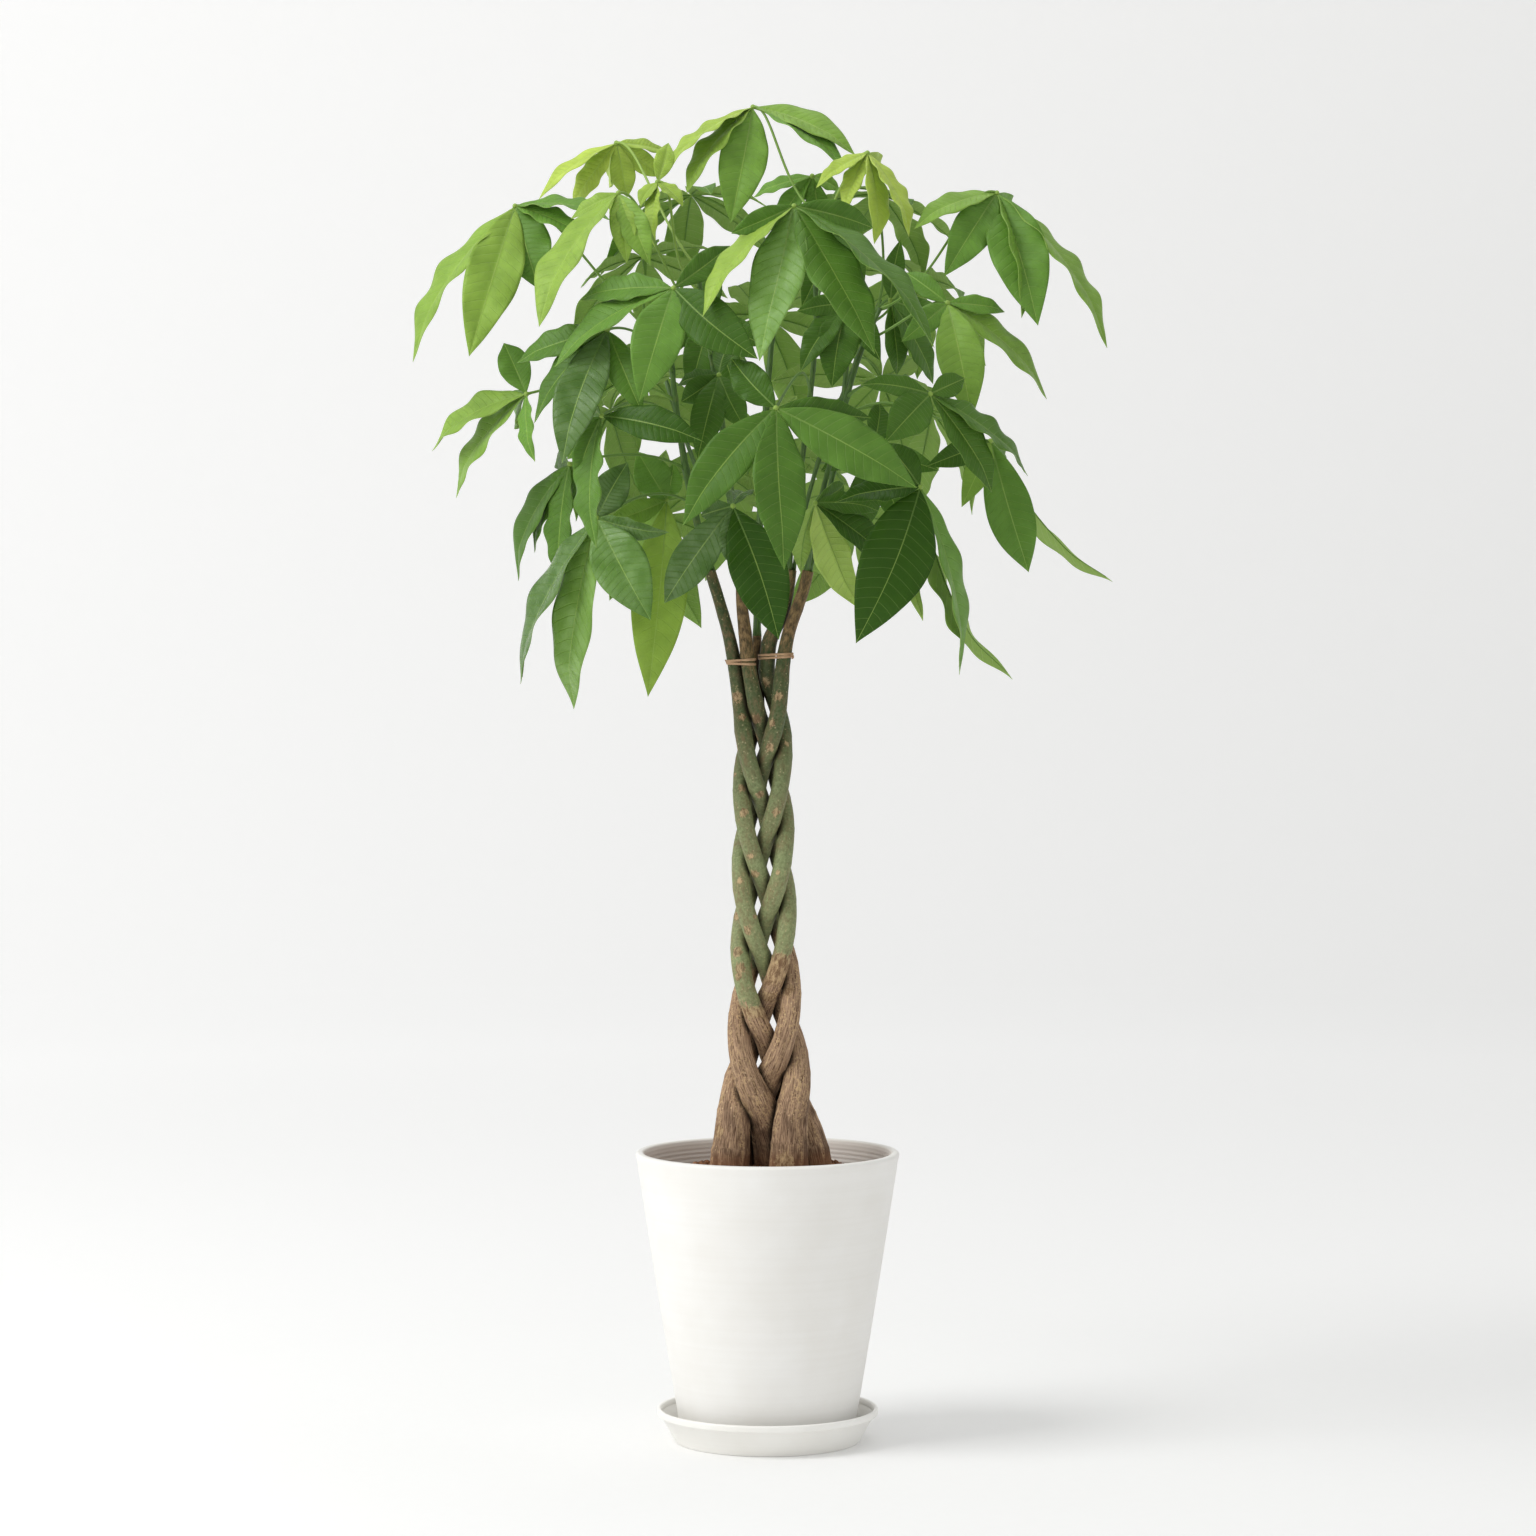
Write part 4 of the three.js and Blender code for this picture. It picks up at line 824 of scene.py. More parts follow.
# Above the braid each trunk runs on to its cut top, as (column, row, depth, radius).
# Its bark turns from brown to green at the height brown_to, over a tan ring tan mm tall,
# and flushes brown again above the ties.
TRUNKS = [
    dict(name="trunk_1", strand=0, brown_to=497, tan=12, flush=0.5, top=[
        (767.5, 678, 6, 9.3), (767, 660, 4, 9.3), (770, 640, 4, 8.6), (781, 617, 3, 7.2),
        (787, 597, 3, 6.6), (791, 570, 3, 6.5)]),
    dict(name="trunk_2", strand=1, brown_to=537, tan=14, flush=1, top=[
        (748, 662, -8, 8), (745, 632, -5, 7.5), (742, 605, -6, 6.4), (741, 585, -7, 6.2)]),
    dict(name="trunk_3", strand=2, brown_to=553, tan=30, flush=0.2, top=[
        (734, 660, 3, 8), (728, 632, 3, 7.1), (718, 597, 3, 6.5), (710, 571, 3, 6.5)]),
    dict(name="trunk_4", strand=3, brown_to=580, tan=24, flush=0.9, top=[
        (757, 664, 15, 5.4), (757, 650, 16, 5.2), (757, 636, 17, 5.2)]),
    dict(name="trunk_5", strand=4, brown_to=525, tan=14, flush=1, top=[
        (784, 656, -9, 8.1), (789, 632, -5, 7.3), (798, 606, -5, 6.8), (804, 588, -5, 6.6),
        (808, 571, -5, 6.5)]),
]


def braid_turn(z):
    """How far round the braid a strand has gone at a height in mm, in degrees."""
    rate = 360 / BRAID_PITCH
    if z > BRAID_TURN_Z:
        rest = 1 - math.exp(-(z - BRAID_TURN_Z) / BRAID_RUN_OUT_TOP)
        return BRAID_START_ANGLE - rate * BRAID_RUN_OUT_TOP * rest
    if z < BRAID_SLOW_Z:
        rest = 1 - math.exp(-(BRAID_SLOW_Z - z) / BRAID_RUN_OUT_FOOT)
        return BRAID_START_ANGLE + 360 + rate * BRAID_RUN_OUT_FOOT * rest
    return BRAID_START_ANGLE + rate * (BRAID_TURN_Z - z)


def strand_point(strand, z):
    """One strand at a height in mm: it runs a figure of eight about the braid's centre."""
    angle = math.radians(braid_turn(z) - STRAND_SPACING * strand)
    middle = (lerp_table(BRAID_CENTRE_COLUMN, z) - PHOTO_AXIS_COLUMN) * pixel_size(0)
    swing = math.sin(2 * angle) + BRAID_SQUARENESS * math.sin(6 * angle)
    lagging = angle - REAR_LAG * max(0, math.sin(2 * angle))
    return Vector((
        middle + lerp_table(BRAID_HALF_WIDTH, z) * MM * math.sin(lagging),
        lerp_table(BRAID_HALF_DEPTH, z) * MM * swing,
        z * MM))


def trunk_points(trunk):
    """A trunk's (place, radius) points, up the braid and on to its cut top."""
    points = []
    for z in range(TRUNK_FOOT_Z, BRAID_TOP_Z + 1, BRAID_STEP):
        radius = lerp_table(STRAND_RADIUS, z) * lerp_table(STRAND_FULLNESS, z)
        points.append((strand_point(trunk["strand"], z), radius * MM))
    return points + [(from_view(column, row, depth), radius * MM)
                     for column, row, depth, radius in trunk["top"]]


# Leaf scars and corky patches that show from the front, as (column, row, radius in mm).
SEEN_SCARS = [
    (778, 695, 4.6), (772, 723, 4.2), (770, 747, 4.8), (756, 719, 6), (737, 697, 6.5),
    (742, 717, 4.2), (766, 682, 4), (786, 744, 3.4), (735, 775, 3), (742, 788, 4.4),
    (760, 794, 4.6), (744, 812, 4.6), (776, 812, 4.2), (750, 856, 3.6), (755, 873, 5),
    (778, 872, 2.6), (740, 880, 3.2), (736, 916, 5), (747, 930, 5), (755, 916, 2.6),
    (737, 951, 6), (740, 967, 6), (738, 976, 4.4), (778, 960, 8), (774, 978, 8), (768, 996, 7),
    (732, 979, 6), (723, 1098, 5), (722, 1082, 5), (718, 1130, 8), (744, 1104, 7),
    (750, 1112, 5), (780, 1012, 6), (788, 990, 7), (802, 1072, 3), (784, 1160, 11),
]


def seen_scars(trunk_lines):
    """Each seen scar's place on the front of whichever trunk is foremost there, by trunk."""
    found = {name: [] for name in trunk_lines}
    for column, row, radius in SEEN_SCARS:
        crossed = []
        for name, line in trunk_lines.items():
            for place, thick in line:
                seen = from_view(column, row, place.y / MM)
                if abs(seen.z - place.z) < 3 * MM and abs(seen.x - place.x) < thick:
                    inwards = math.sqrt(thick ** 2 - (seen.x - place.x) ** 2)
                    crossed.append((place.y - inwards, name, seen))
        if crossed:
            front, name, seen = min(crossed, key=lambda one: one[0])
            found[name].append((Vector((seen.x, front, seen.z)), radius * MM))
    return found


def crevice_depth(place, neighbours):
    """How deep a place on a trunk lies in a crevice: 1 where another trunk touches it."""
    deepest = 0
    for line, heights in neighbours:
        centre, thick = line[min(bisect.bisect_left(heights, place.z), len(line) - 1)]
        gap = (place - centre).length - thick
        deepest = max(deepest, 1 - ease(gap, *CREVICE_GAPS))
    return deepest


def make_trunk(trunk, stations, neighbours, front_scars, material):
    """A trunk with long lumps, ring-like knots at its leaf scars and a corky brown foot."""
    rng = random.Random(trunk["name"])
    bm = new_mesh()
    seed = Vector((trunk["strand"] * 7.3, 2.1, 0))
    total = sum((b[0] - a[0]).length for a, b in zip(stations, stations[1:]))
    count = int(total / SCAR_SPACING)
    knots = [(k + rng.uniform(0.2, 0.8)) * SCAR_SPACING for k in range(count)]
    # behind, where the view doesn't reach, the scars follow the same spacing and leaf turn
    scars = list(front_scars)
    for k, knot in enumerate(knots):
        place, thick = stations[min(int(knot / total * len(stations)), len(stations) - 1)]
        angle = k * LEAF_TURN
        on_skin = place + thick * Vector((math.cos(angle), math.sin(angle), 0))
        if on_skin.y > place.y:
            scars.append((on_skin, SCAR_RADIUS * rng.uniform(0.6, 1.2)))

    def swell(angle, length):
        around = Vector((math.cos(angle), math.sin(angle), 0))
        lumps = noise.noise(around * 0.8 + UP * (length / TRUNK_LUMP_LENGTH) + seed)
        cork = noise.noise(around * 4.5 + UP * (length / CORK_LUMP_LENGTH) + seed)
        ring = max(math.exp(-((length - knot) / KNOT_HEIGHT) ** 2) for knot in knots)
        corkiness = 1.25 - ease(length, *CORKY_FOOT)
        return (TRUNK_LUMPINESS * lumps + CORK_LUMPINESS * corkiness * cork
                + KNOT_SWELLING * ring)

    tube(bm, stations, TRUNK_SIDES, swell)
    straight = bm.verts.layers.float_vector["straight"]
    marks = bm.verts.layers.float_vector["marks"]
    shade = bm.verts.layers.float["shade"]
    for vert in bm.verts:
        # painted shade and dirt: how deep each point lies in a crevice sets how dark the bark is
        # painted there
        vert[shade] = crevice_depth(vert.co, neighbours)
        from_brown = vert.co.z / MM - trunk["brown_to"]
        greenness = clamp(from_brown / GREENING_HEIGHT + 0.5, 0, 1)
        flush = trunk["flush"] * (1 - ease(total - vert[straight].z, *FLUSH_FROM_TOP))
        on_scar = max(
            (1 - ease((vert.co - centre).length, 0.4 * radius, 1.6 * radius)
             for centre, radius in scars if abs(vert.co.z - centre.z) < 1.6 * radius), default=0)
        tan_ring = 0.9 * math.exp(-((from_brown + 0.5 * trunk["tan"]) / (0.6 * trunk["tan"])) ** 4)
        vert[marks] = (greenness, max(on_scar, tan_ring), flush)
    finish_piece(bm, "braided_" + trunk["name"], trunk["name"], [material])


# ------------------------------------------------------------------ raffia ties

TIE_WRAP_HEIGHT = 2.9 * MM
TIE_WRAP_THICKNESS = 0.9 * MM
TIE_WRAP_SIDES = 10
TIE_WRAP_STEP = 2 * MM              # of the strip's own length, for its fibres
TIE_THICKNESS_WANDER = 0.35         # as a share of the strip's thickness
TIE_HEIGHT_WANDER = 0.2
TIE_KNOT_OFFSET = 1.3 * MM          # of its middle from the trunk
TIE_KNOT_RADIUS = 0.75 * MM         # of the strip where it is twisted
TIE_KNOT_STATIONS = 48
TIE_KNOT_SIDES = 8
TIES = [
    dict(name="tie_left", first=(734.4, 3), second=(748, -8), row=662, radius=7.9,
         wraps=[(2.1, 1.0), (-2.0, -0.5)], knot_on_first=True),
    dict(name="tie_right", first=(767, 4), second=(784.5, -9), row=656, radius=9,
         wraps=[(1.7, 0.9), (-1.6, 1.2)], knot_on_first=False),
]


def around_two(first, second, radius, steps=24):
    """Points of a closed line round two circles, wide enough to pass round both."""
    heading = math.atan2(second.y - first.y, second.x - first.x)
    line = []
    for centre, start in ((second, -math.pi / 2), (first, math.pi / 2)):
        for k in range(steps + 1):
            angle = heading + start + math.pi * k / steps
            line.append(centre + radius * Vector((math.cos(angle), math.sin(angle), 0)))
    return line


def make_tie(tie, material):
    """Raffia wound twice round two trunks, knotted at one end with its tails cut short."""
    bm = new_mesh()
    first = from_view(tie["first"][0], tie["row"], tie["first"][1])
    second = from_view(tie["second"][0], tie["row"], tie["second"][1])
    straight = bm.verts.layers.float_vector["straight"]
    for height, slant in tie["wraps"]:
        line = around_two(first, second, tie["radius"] * MM + TIE_WRAP_THICKNESS)
        count = len(line)
        made = bmesh.ops.create_grid(
            bm, x_segments=count, y_segments=TIE_WRAP_SIDES, size=0.5, calc_uvs=True)
        middle = (first + second) / 2
        for vert in made["verts"]:
            step = round((vert.co.x + 0.5) * count) % count
            around = FULL_TURN * (vert.co.y + 0.5)
            place = line[step]
            outward = (place - middle).normalized()
            thin_spots = noise.noise(place * 300)
            thick = TIE_WRAP_THICKNESS / 2 * (1 + TIE_THICKNESS_WANDER * thin_spots)
            frays = noise.noise(place * 130 + UP * height)
            tall = TIE_WRAP_HEIGHT / 2 * (1 + TIE_HEIGHT_WANDER * frays)
            lean = slant * MM * (place.x - middle.x) / (second.x - first.x)
            vert.co = place + outward * (thick * math.cos(around))
            vert.co.z += height * MM + lean + tall * math.sin(around)
            length = TIE_WRAP_STEP * step
            vert[straight] = (thick * math.cos(around), tall * math.sin(around), length)
        bmesh.ops.remove_doubles(bm, verts=made["verts"], dist=WELD_GAP)
    knot_on, other = (first, second) if tie["knot_on_first"] else (second, first)
    outward = (knot_on - other).normalized()
    outward.z = 0
    forward = outward.cross(UP)
    middle = knot_on + outward * (tie["radius"] * MM + TIE_KNOT_OFFSET)
    # the knot's path in mm: outwards, forwards, up
    loop = [(-0.6, 0, -3.2), (1.3, 0.8, -1.6), (1.0, -1.2, 1.4), (-0.8, -0.6, 2.8),
            (0.2, 1.4, 0.9), (1.5, 0.2, -0.6), (0.4, -1.5, -1.2), (0.6, -2.6, 0.6),
            (0.3, -4.4, 2.2)]
    if not tie["knot_on_first"]:
        loop = [(x, -y, z) for x, y, z in loop]
    path = [(middle + (outward * x + forward * y + UP * z) * MM, TIE_KNOT_RADIUS)
            for x, y, z in loop]
    tube(bm, smooth_stations(path, TIE_KNOT_STATIONS), TIE_KNOT_SIDES)
    bmesh.ops.recalc_face_normals(bm, faces=bm.faces)
    finish_piece(bm, "raffia_" + tie["name"], tie["name"], [material])


# ------------------------------------------------------------------ green shoots

# Each shoot stands on a trunk's cut top, beside=(x, y) off its middle where two share it.
# path: (column, row, depth, radius) from there upwards.
SHOOTS = [
    dict(name="shoot_1", on="trunk_3", beside=(-1.9, 0.6), foot=4, path=[
        (700, 535, 0, 4.2), (688, 480, -12, 4), (676, 405, -22, 3.4), (670, 340, -30, 2.6)]),
    dict(name="shoot_2", on="trunk_2", beside=(0, 0), foot=4.8, path=[
        (736, 545, -22, 4.4), (728, 470, -58, 4), (714, 370, -92, 3.2), (696, 262, -105, 2.4)]),
    dict(name="shoot_3", on="trunk_4", beside=(0, 0), foot=4.4, path=[
        (758, 575, 42, 4), (764, 440, 96, 3.8), (775, 310, 130, 3), (788, 222, 140, 2.4)]),
    dict(name="shoot_4", on="trunk_1", beside=(-2.6, -1.4), foot=3.2, path=[
        (793, 520, -2, 3.2), (806, 430, -28, 3.2), (816, 320, -50, 2.8), (809, 206, -52, 2.2)]),
    dict(name="shoot_5", on="trunk_5", beside=(1.6, 2.8), foot=2.9, path=[
        (820, 530, 14, 2.9), (836, 455, 48, 3), (846, 370, 66, 2.8), (852, 290, 74, 2.2)]),
    dict(name="shoot_6", on="trunk_5", beside=(-1.6, -2.8), foot=2.9, path=[
        (816, 520, -36, 2.9), (836, 440, -72, 3), (858, 360, -88, 2.8), (880, 308, -92, 2.2)]),
    dict(name="shoot_7", on="trunk_3", beside=(4.5, -1), foot=1.7, path=[
        (717, 545, 22, 2.2), (700, 480, 88, 2.6), (672, 400, 150, 2.4), (650, 320, 190, 2)]),
    dict(name="shoot_8", on="trunk_1", beside=(3.1, 2.4), foot=2.2, path=[
        (800, 530, 50, 2.6), (822, 450, 118, 2.6), (852, 370, 170, 2.4), (880, 300, 205, 2)]),
]


def shoot_stations(shoot, trunk):
    """The shoot's line from a short straight foot, square on the trunk's cut top."""
    top, before = trunk[-1][0], trunk[-TRUNK_TOP_STATIONS][0]
    along = (top - before).normalized()
    beside = Vector((*shoot["beside"], 0)) * MM
    beside -= along * beside.dot(along)
    foot = top + beside
    points = [(foot + along * SHOOT_STUB, shoot["foot"] * MM)]
    points += [(from_view(column, row, depth), radius * MM)
               for column, row, depth, radius in shoot["path"]]
    return [(foot, shoot["foot"] * MM), *smooth_stations(points, SHOOT_STATIONS)]


def station_at(stations, z):
    """The place, radius and heading of a stem at a height."""
    index = next((i for i, (place, _) in enumerate(stations) if place.z >= z), len(stations) - 1)
    index = max(index, 1)
    place, radius = stations[index]
    return place, radius, (place - stations[index - 1][0]).normalized()


def make_shoot(shoot, stations, node_heights, material):
    """A shoot with a callus at its foot and a swollen joint under each leaf stalk."""
    bm = new_mesh()
    lengths = [0]
    for (a, _), (b, _) in zip(stations, stations[1:]):
        lengths.append(lengths[-1] + (b - a).length)
    joints = [lengths[min(range(len(stations)), key=lambda i: abs(stations[i][0].z - z))]
              for z in node_heights]
    seed = Vector((shoot["path"][0][0], 0, 0))

    def swell(angle, length):
        around = Vector((math.cos(angle), math.sin(angle), 0))
        lumps = noise.noise(around + UP * (length / SHOOT_LUMP_LENGTH) + seed)
        callus = math.exp(-(length / CALLUS_HEIGHT) ** 2)
        swollen = sum(math.exp(-((length - joint) / JOINT_HEIGHT) ** 2) for joint in joints)
        return SHOOT_LUMPINESS * lumps + JOINT_SWELLING * (callus + swollen)

    tube(bm, stations, SHOOT_SIDES, swell)
    finish_piece(bm, "green_" + shoot["name"], shoot["name"], [material])


# ------------------------------------------------------------------ leaves

CROWN_HEART = Vector((0, 0, 1.1))
LEAF_UPTURN = 0.35                  # how much more a leaf faces up than away from the heart
LEAFLET_DROOP = 0.25                # this and the next are shares of a leaflet's length
LEAFLET_DEPTH_LIMIT = 0.45
LEAST_FACING = 0.5                  # a leaf's plane counts as no steeper to the view than this
BEHIND_MIDDLE = 20 * MM             # leaves deeper than this face away from the view

# Leaves seen in the photograph, leaf_01 to leaf_29. hub: (column, row, depth).
# on: (shoot, row of its node there).
# tips: (column, row, seen width in pixels, tone, depth from the hub if it isn't worked out).
# The tone runs from 0, deep green, to 1, yellow-green; a high tone is partly painted light shining
# through a leaflet lit from behind. glossy: the leaflets that shine, with a painted sheen.
SEEN_LEAVES = [
    dict(hub=(753, 107, 10), on=("shoot_4", 210), tips=[
        (731, 221, 48, 0.55), (660, 172, 14, 0.85), (684, 190, 22, 0.7), (856, 151, 25, 0.6),
        (847, 165, 20, 0.5), (748, 152, 18, 0.4, 100)]),
    dict(hub=(617, 143, 40), on=("shoot_2", 276), tips=[
        (538, 197, 14, 1), (572, 205, 24, 1), (628, 198, 25, 0.9), (662, 177, 22, 0.9),
        (674, 155, 12, 0.85), (612, 185, 16, 0.9, 100)]),
    dict(hub=(658, 182, -95), on=("shoot_2", 300), tips=[
        (669, 142, 20, 0.8), (652, 246, 16, 0.85), (640, 205, 14, 0.8), (684, 205, 14, 0.8)]),
    dict(hub=(619, 193, -160), on=("shoot_2", 330), tips=[
        (537, 324, 34, 0.7), (571, 218, 16, 0.7), (627, 262, 27, 0.7), (650, 264, 30, 0.6),
        (622, 228, 16, 0.8, 100)]),
    dict(hub=(516, 206, -40), on=("shoot_1", 350), tips=[
        (409, 358, 24, 0.66), (470, 354, 56, 0.68), (539, 288, 52, 0.35), (611, 216, 14, 0.45),
        (588, 237, 20, 0.5), (532, 252, 18, 0.5, 115)]),
    dict(hub=(674, 288, -250), on=("shoot_2", 360), tips=[
        (579, 297, 27, 0.35), (553, 364, 26, 0.4), (640, 399, 52, 0.42), (757, 358, 50, 0.1),
        (731, 245, 27, 0.2)]),
    dict(hub=(794, 206, -230), on=("shoot_4", 280), glossy=(0,), tips=[
        (758, 359, 53, 0.52), (698, 311, 22, 0.75), (732, 233, 25, 0.3), (876, 351, 50, 0.3),
        (940, 339, 22, 0.25), (874, 228, 30, 0.25)]),
    dict(hub=(867, 153, -60), on=("shoot_4", 240), tips=[
        (815, 185, 15, 0.95), (843, 212, 20, 1), (878, 242, 22, 1), (912, 234, 17, 1),
        (872, 188, 14, 0.9, 95)]),
    dict(hub=(996, 193, -60), on=("shoot_6", 315), tips=[
        (913, 224, 22, 0.6), (945, 274, 42, 0.42), (1025, 316, 25, 0.55), (1037, 323, 58, 0.42),
        (1111, 344, 20, 0.6), (1002, 245, 18, 0.5, 115)]),
    dict(hub=(947, 303, -130), on=("shoot_6", 345), tips=[
        (1006, 310, 19, 0.5), (1050, 396, 24, 0.6), (971, 416, 47, 0.6), (905, 272, 22, 0.4),
        (902, 341, 25, 0.4), (950, 335, 18, 0.5, 105)]),
    dict(hub=(776, 408, -310), on=("shoot_4", 400), tips=[
        (786, 568, 53, 0.22), (918, 487, 53, 0.32), (872, 417, 32, 0.15), (682, 523, 48, 0.2),
        (731, 358, 36, 0.1)]),
    dict(hub=(930, 394, -240), on=("shoot_6", 400), tips=[
        (965, 378, 25, 0.2), (861, 383, 22, 0.2), (887, 440, 42, 0.2), (995, 491, 32, 0.15),
        (1032, 472, 20, 0.25)]),
    dict(hub=(920, 487, -190), on=("shoot_6", 460), tips=[
        (857, 641, 72, 0.02), (836, 499, 25, 0.02), (885, 442, 32, 0.1), (964, 674, 20, 0.5),
        (1001, 683, 18, 2.5), (917, 621, 27, 2.7)]),
    dict(hub=(990, 441, -90), on=("shoot_5", 420), tips=[
        (927, 466, 27, 0.1), (962, 506, 27, 0.6), (1029, 573, 47, 0.36), (1106, 586, 14, 2.5),
        (1000, 478, 18, 0.3, 115)]),
    dict(hub=(602, 416, -245), on=("shoot_1", 430), tips=[
        (702, 439, 36, 0.05), (577, 487, 24, 0.25), (594, 547, 27, 0.3), (567, 460, 30, 0.4),
        (596, 402, 18, 0.3, 110)]),
    dict(hub=(608, 330, -215), on=("shoot_1", 372), glossy=(0,), tips=[
        (561, 461, 48, 0.12), (642, 412, 33, 0.3), (516, 361, 28, 0.25), (533, 422, 24, 0.2),
        (602, 314, 18, 0.2, 110)]),
    dict(hub=(527, 394, -90), on=("shoot_1", 400), tips=[
        (429, 447, 24, 0.65), (451, 495, 22, 0.6), (532, 461, 16, 0.5), (504, 342, 32, 0.4),
        (520, 425, 16, 0.5, 110)]),
    dict(hub=(570, 464, -60), on=("shoot_1", 470), tips=[
        (511, 579, 24, 0.25), (559, 582, 27, 0.25), (531, 552, 20, 0.3), (612, 530, 24, 0.25, 50),
        (562, 448, 18, 0.2, 110)]),
    dict(hub=(597, 518, -150), on=("shoot_1", 505), glossy=range(6), tips=[
        (668, 534, 20, 0.15), (650, 619, 56, 0.31), (566, 711, 41, 0.55), (514, 682, 22, 0.15),
        (628, 462, 36, 0.1), (590, 505, 16, 0.15, 100)]),
    dict(hub=(667, 500, 60), on=("shoot_7", 500), tips=[
        (648, 695, 56, 0.75), (638, 452, 38, 0.5), (674, 464, 24, 0.5), (606, 523, 24, 0.6),
        (640, 590, 30, 0.6, 80)]),
    dict(hub=(733, 506, -200), on=("shoot_2", 500), glossy=(0, 1, 3, 4), tips=[
        (663, 605, 41, 0.1), (739, 572, 31, 0.1), (779, 640, 57, 0), (700, 516, 22, 0.1),
        (748, 492, 20, 0.1, 90)]),
    dict(hub=(812, 176, 90), on=("shoot_3", 228), tips=[
        (752, 195, 14, 0.5), (840, 190, 16, 0.55), (797, 202, 20, 0.5), (820, 232, 24, 0.45),
        (770, 240, 22, 0.5)]),
    dict(hub=(847, 304, -80), on=("shoot_5", 310), tips=[
        (832, 386, 42, 0.15), (800, 370, 28, 0.15), (797, 311, 22, 0.2), (880, 360, 26, 0.1),
        (860, 250, 20, 0.15)]),
    dict(hub=(890, 300, 60), on=("shoot_5", 340), tips=[
        (935, 384, 26, 0.2), (899, 377, 24, 0.2), (950, 320, 24, 0.25), (900, 240, 22, 0.2)]),
    dict(hub=(815, 503, -100), on=("shoot_6", 500), tips=[
        (857, 609, 37, 3.0), (895, 564, 30, 0.1), (800, 572, 24, 2.6, 40), (880, 510, 22, 0.2),
        (846, 484, 20, 0.3, 60)]),
    dict(hub=(719, 375, -150), on=("shoot_2", 420), tips=[
        (681, 402, 27, 0.15), (676, 384, 14, 0.1), (698, 458, 34, 0.15), (746, 430, 30, 0.2),
        (735, 340, 20, 0.15, 60)]),
    dict(hub=(712, 318, 20), on=("shoot_3", 400), tips=[
        (690, 394, 34, 0.2), (736, 392, 32, 0.15), (655, 350, 24, 0.15), (764, 345, 28, 0.2),
        (708, 258, 22, 0.15)]),
    dict(hub=(830, 235, 10), on=("shoot_4", 310), tips=[
        (802, 306, 34, 0.15), (864, 288, 26, 0.2), (778, 262, 24, 0.15), (880, 262, 24, 0.15),
        (838, 232, 16, 0.2, 100)]),
    dict(hub=(872, 452, 40), on=("shoot_5", 470), tips=[
        (905, 530, 30, 0.2), (850, 540, 34, 0.15), (938, 470, 26, 0.2), (822, 470, 26, 0.15, -70),
        (880, 400, 24, 0.15, 60)]),
]

# Leaves of the crown's far side, leaf_30 on. azimuth: degrees from +X towards +Y.
FAR_LEAVES = [
    dict(azimuth=91, reach=320, height=1300, on=("shoot_3", 330), size=165, turn=10),
    dict(azimuth=118, reach=310, height=1230, on=("shoot_7", 380), size=150, turn=40),
    dict(azimuth=64, reach=310, height=1220, on=("shoot_8", 350), size=155, turn=0),
    dict(azimuth=127, reach=245, height=1360, on=("shoot_7", 330), size=135, turn=20),
    dict(azimuth=50, reach=272, height=1335, on=("shoot_8", 310), size=135, turn=30),
    dict(azimuth=92, reach=330, height=1135, on=("shoot_3", 440), size=170, turn=25),
    dict(azimuth=117, reach=275, height=1058, on=("shoot_7", 470), size=145, turn=5),
    dict(azimuth=67, reach=270, height=1060, on=("shoot_8", 460), size=140, turn=15),
    dict(azimuth=88, reach=190, height=1060, on=("shoot_3", 530), size=130, turn=40),
    dict(azimuth=118, reach=190, height=1430, on=("shoot_3", 250), size=145, turn=5),
    dict(azimuth=144, reach=225, height=1178, on=("shoot_7", 420), size=140, turn=30),
    dict(azimuth=36, reach=235, height=1178, on=("shoot_8", 410), size=140, turn=20),
    dict(azimuth=45, reach=185, height=1428, on=("shoot_8", 305), size=130, turn=45),
]
FAR_LEAFLETS = 6
FAR_FAN_ANGLE = 300
FAR_FAN_TILT = 20
FAR_DROOP = math.radians(24)
FAR_LENGTHS = (0.68, 0.32)          # of the outer leaflets, and what the middle ones have more
FAR_TONES = (0.3, 0.45)


def crown_normal(hub):
    """The way a leaf faces: out of the crown and a little up."""
    normal = (hub - CROWN_HEART).normalized()
    normal.z += LEAF_UPTURN
    return normal.normalized()


def tip_depth(hub, normal, column, row):
    """How far behind the hub, in mm, a tip lies for its leaflet to droop from the leaf's plane."""
    flat = from_view(column, row, hub.y / MM) - hub
    span = flat.length
    if hub.y > BEHIND_MIDDLE:
        facing = max(normal.y, LEAST_FACING)
    else:
        facing = min(normal.y, -LEAST_FACING)
    depth = -(normal.x * flat.x + normal.z * flat.z + LEAFLET_DROOP * span) / facing
    limit = LEAFLET_DEPTH_LIMIT * span
    return clamp(depth, -limit, limit) / MM


def seen_leaflet(hub, normal, column, row, seen_width, tone, depth=None):
    """A leaflet turned about its length until it looks as wide as the photograph shows it."""
    if depth is None:
        depth = tip_depth(hub, normal, column, row)
    tip = from_view(column, row, hub.y / MM + depth)
    chord = tip - hub
    shown = seen_width * pixel_size(tip.y)
    width = max(shown, clamp(BLADE_SLENDERNESS * chord.length, *BLADE_WIDTHS))
    along = chord.normalized()
    in_plane = along.cross(Vector((0, 1, 0))).normalized()
    facing = in_plane.cross(along)
    if facing.y > 0:
        facing.negate()
    cosine = min(shown / width, 1)
    sine = math.sqrt(1 - cosine * cosine) * (-1 if in_plane.dot(normal) < 0 else 1)
    face = (facing * cosine + in_plane * sine).normalized()
    if tone >= UNDERSIDE_SEEN:
        face.negate()
        tone -= UNDERSIDE_SEEN
    return dict(tip=tip, width=width, normal=face, tone=tone)


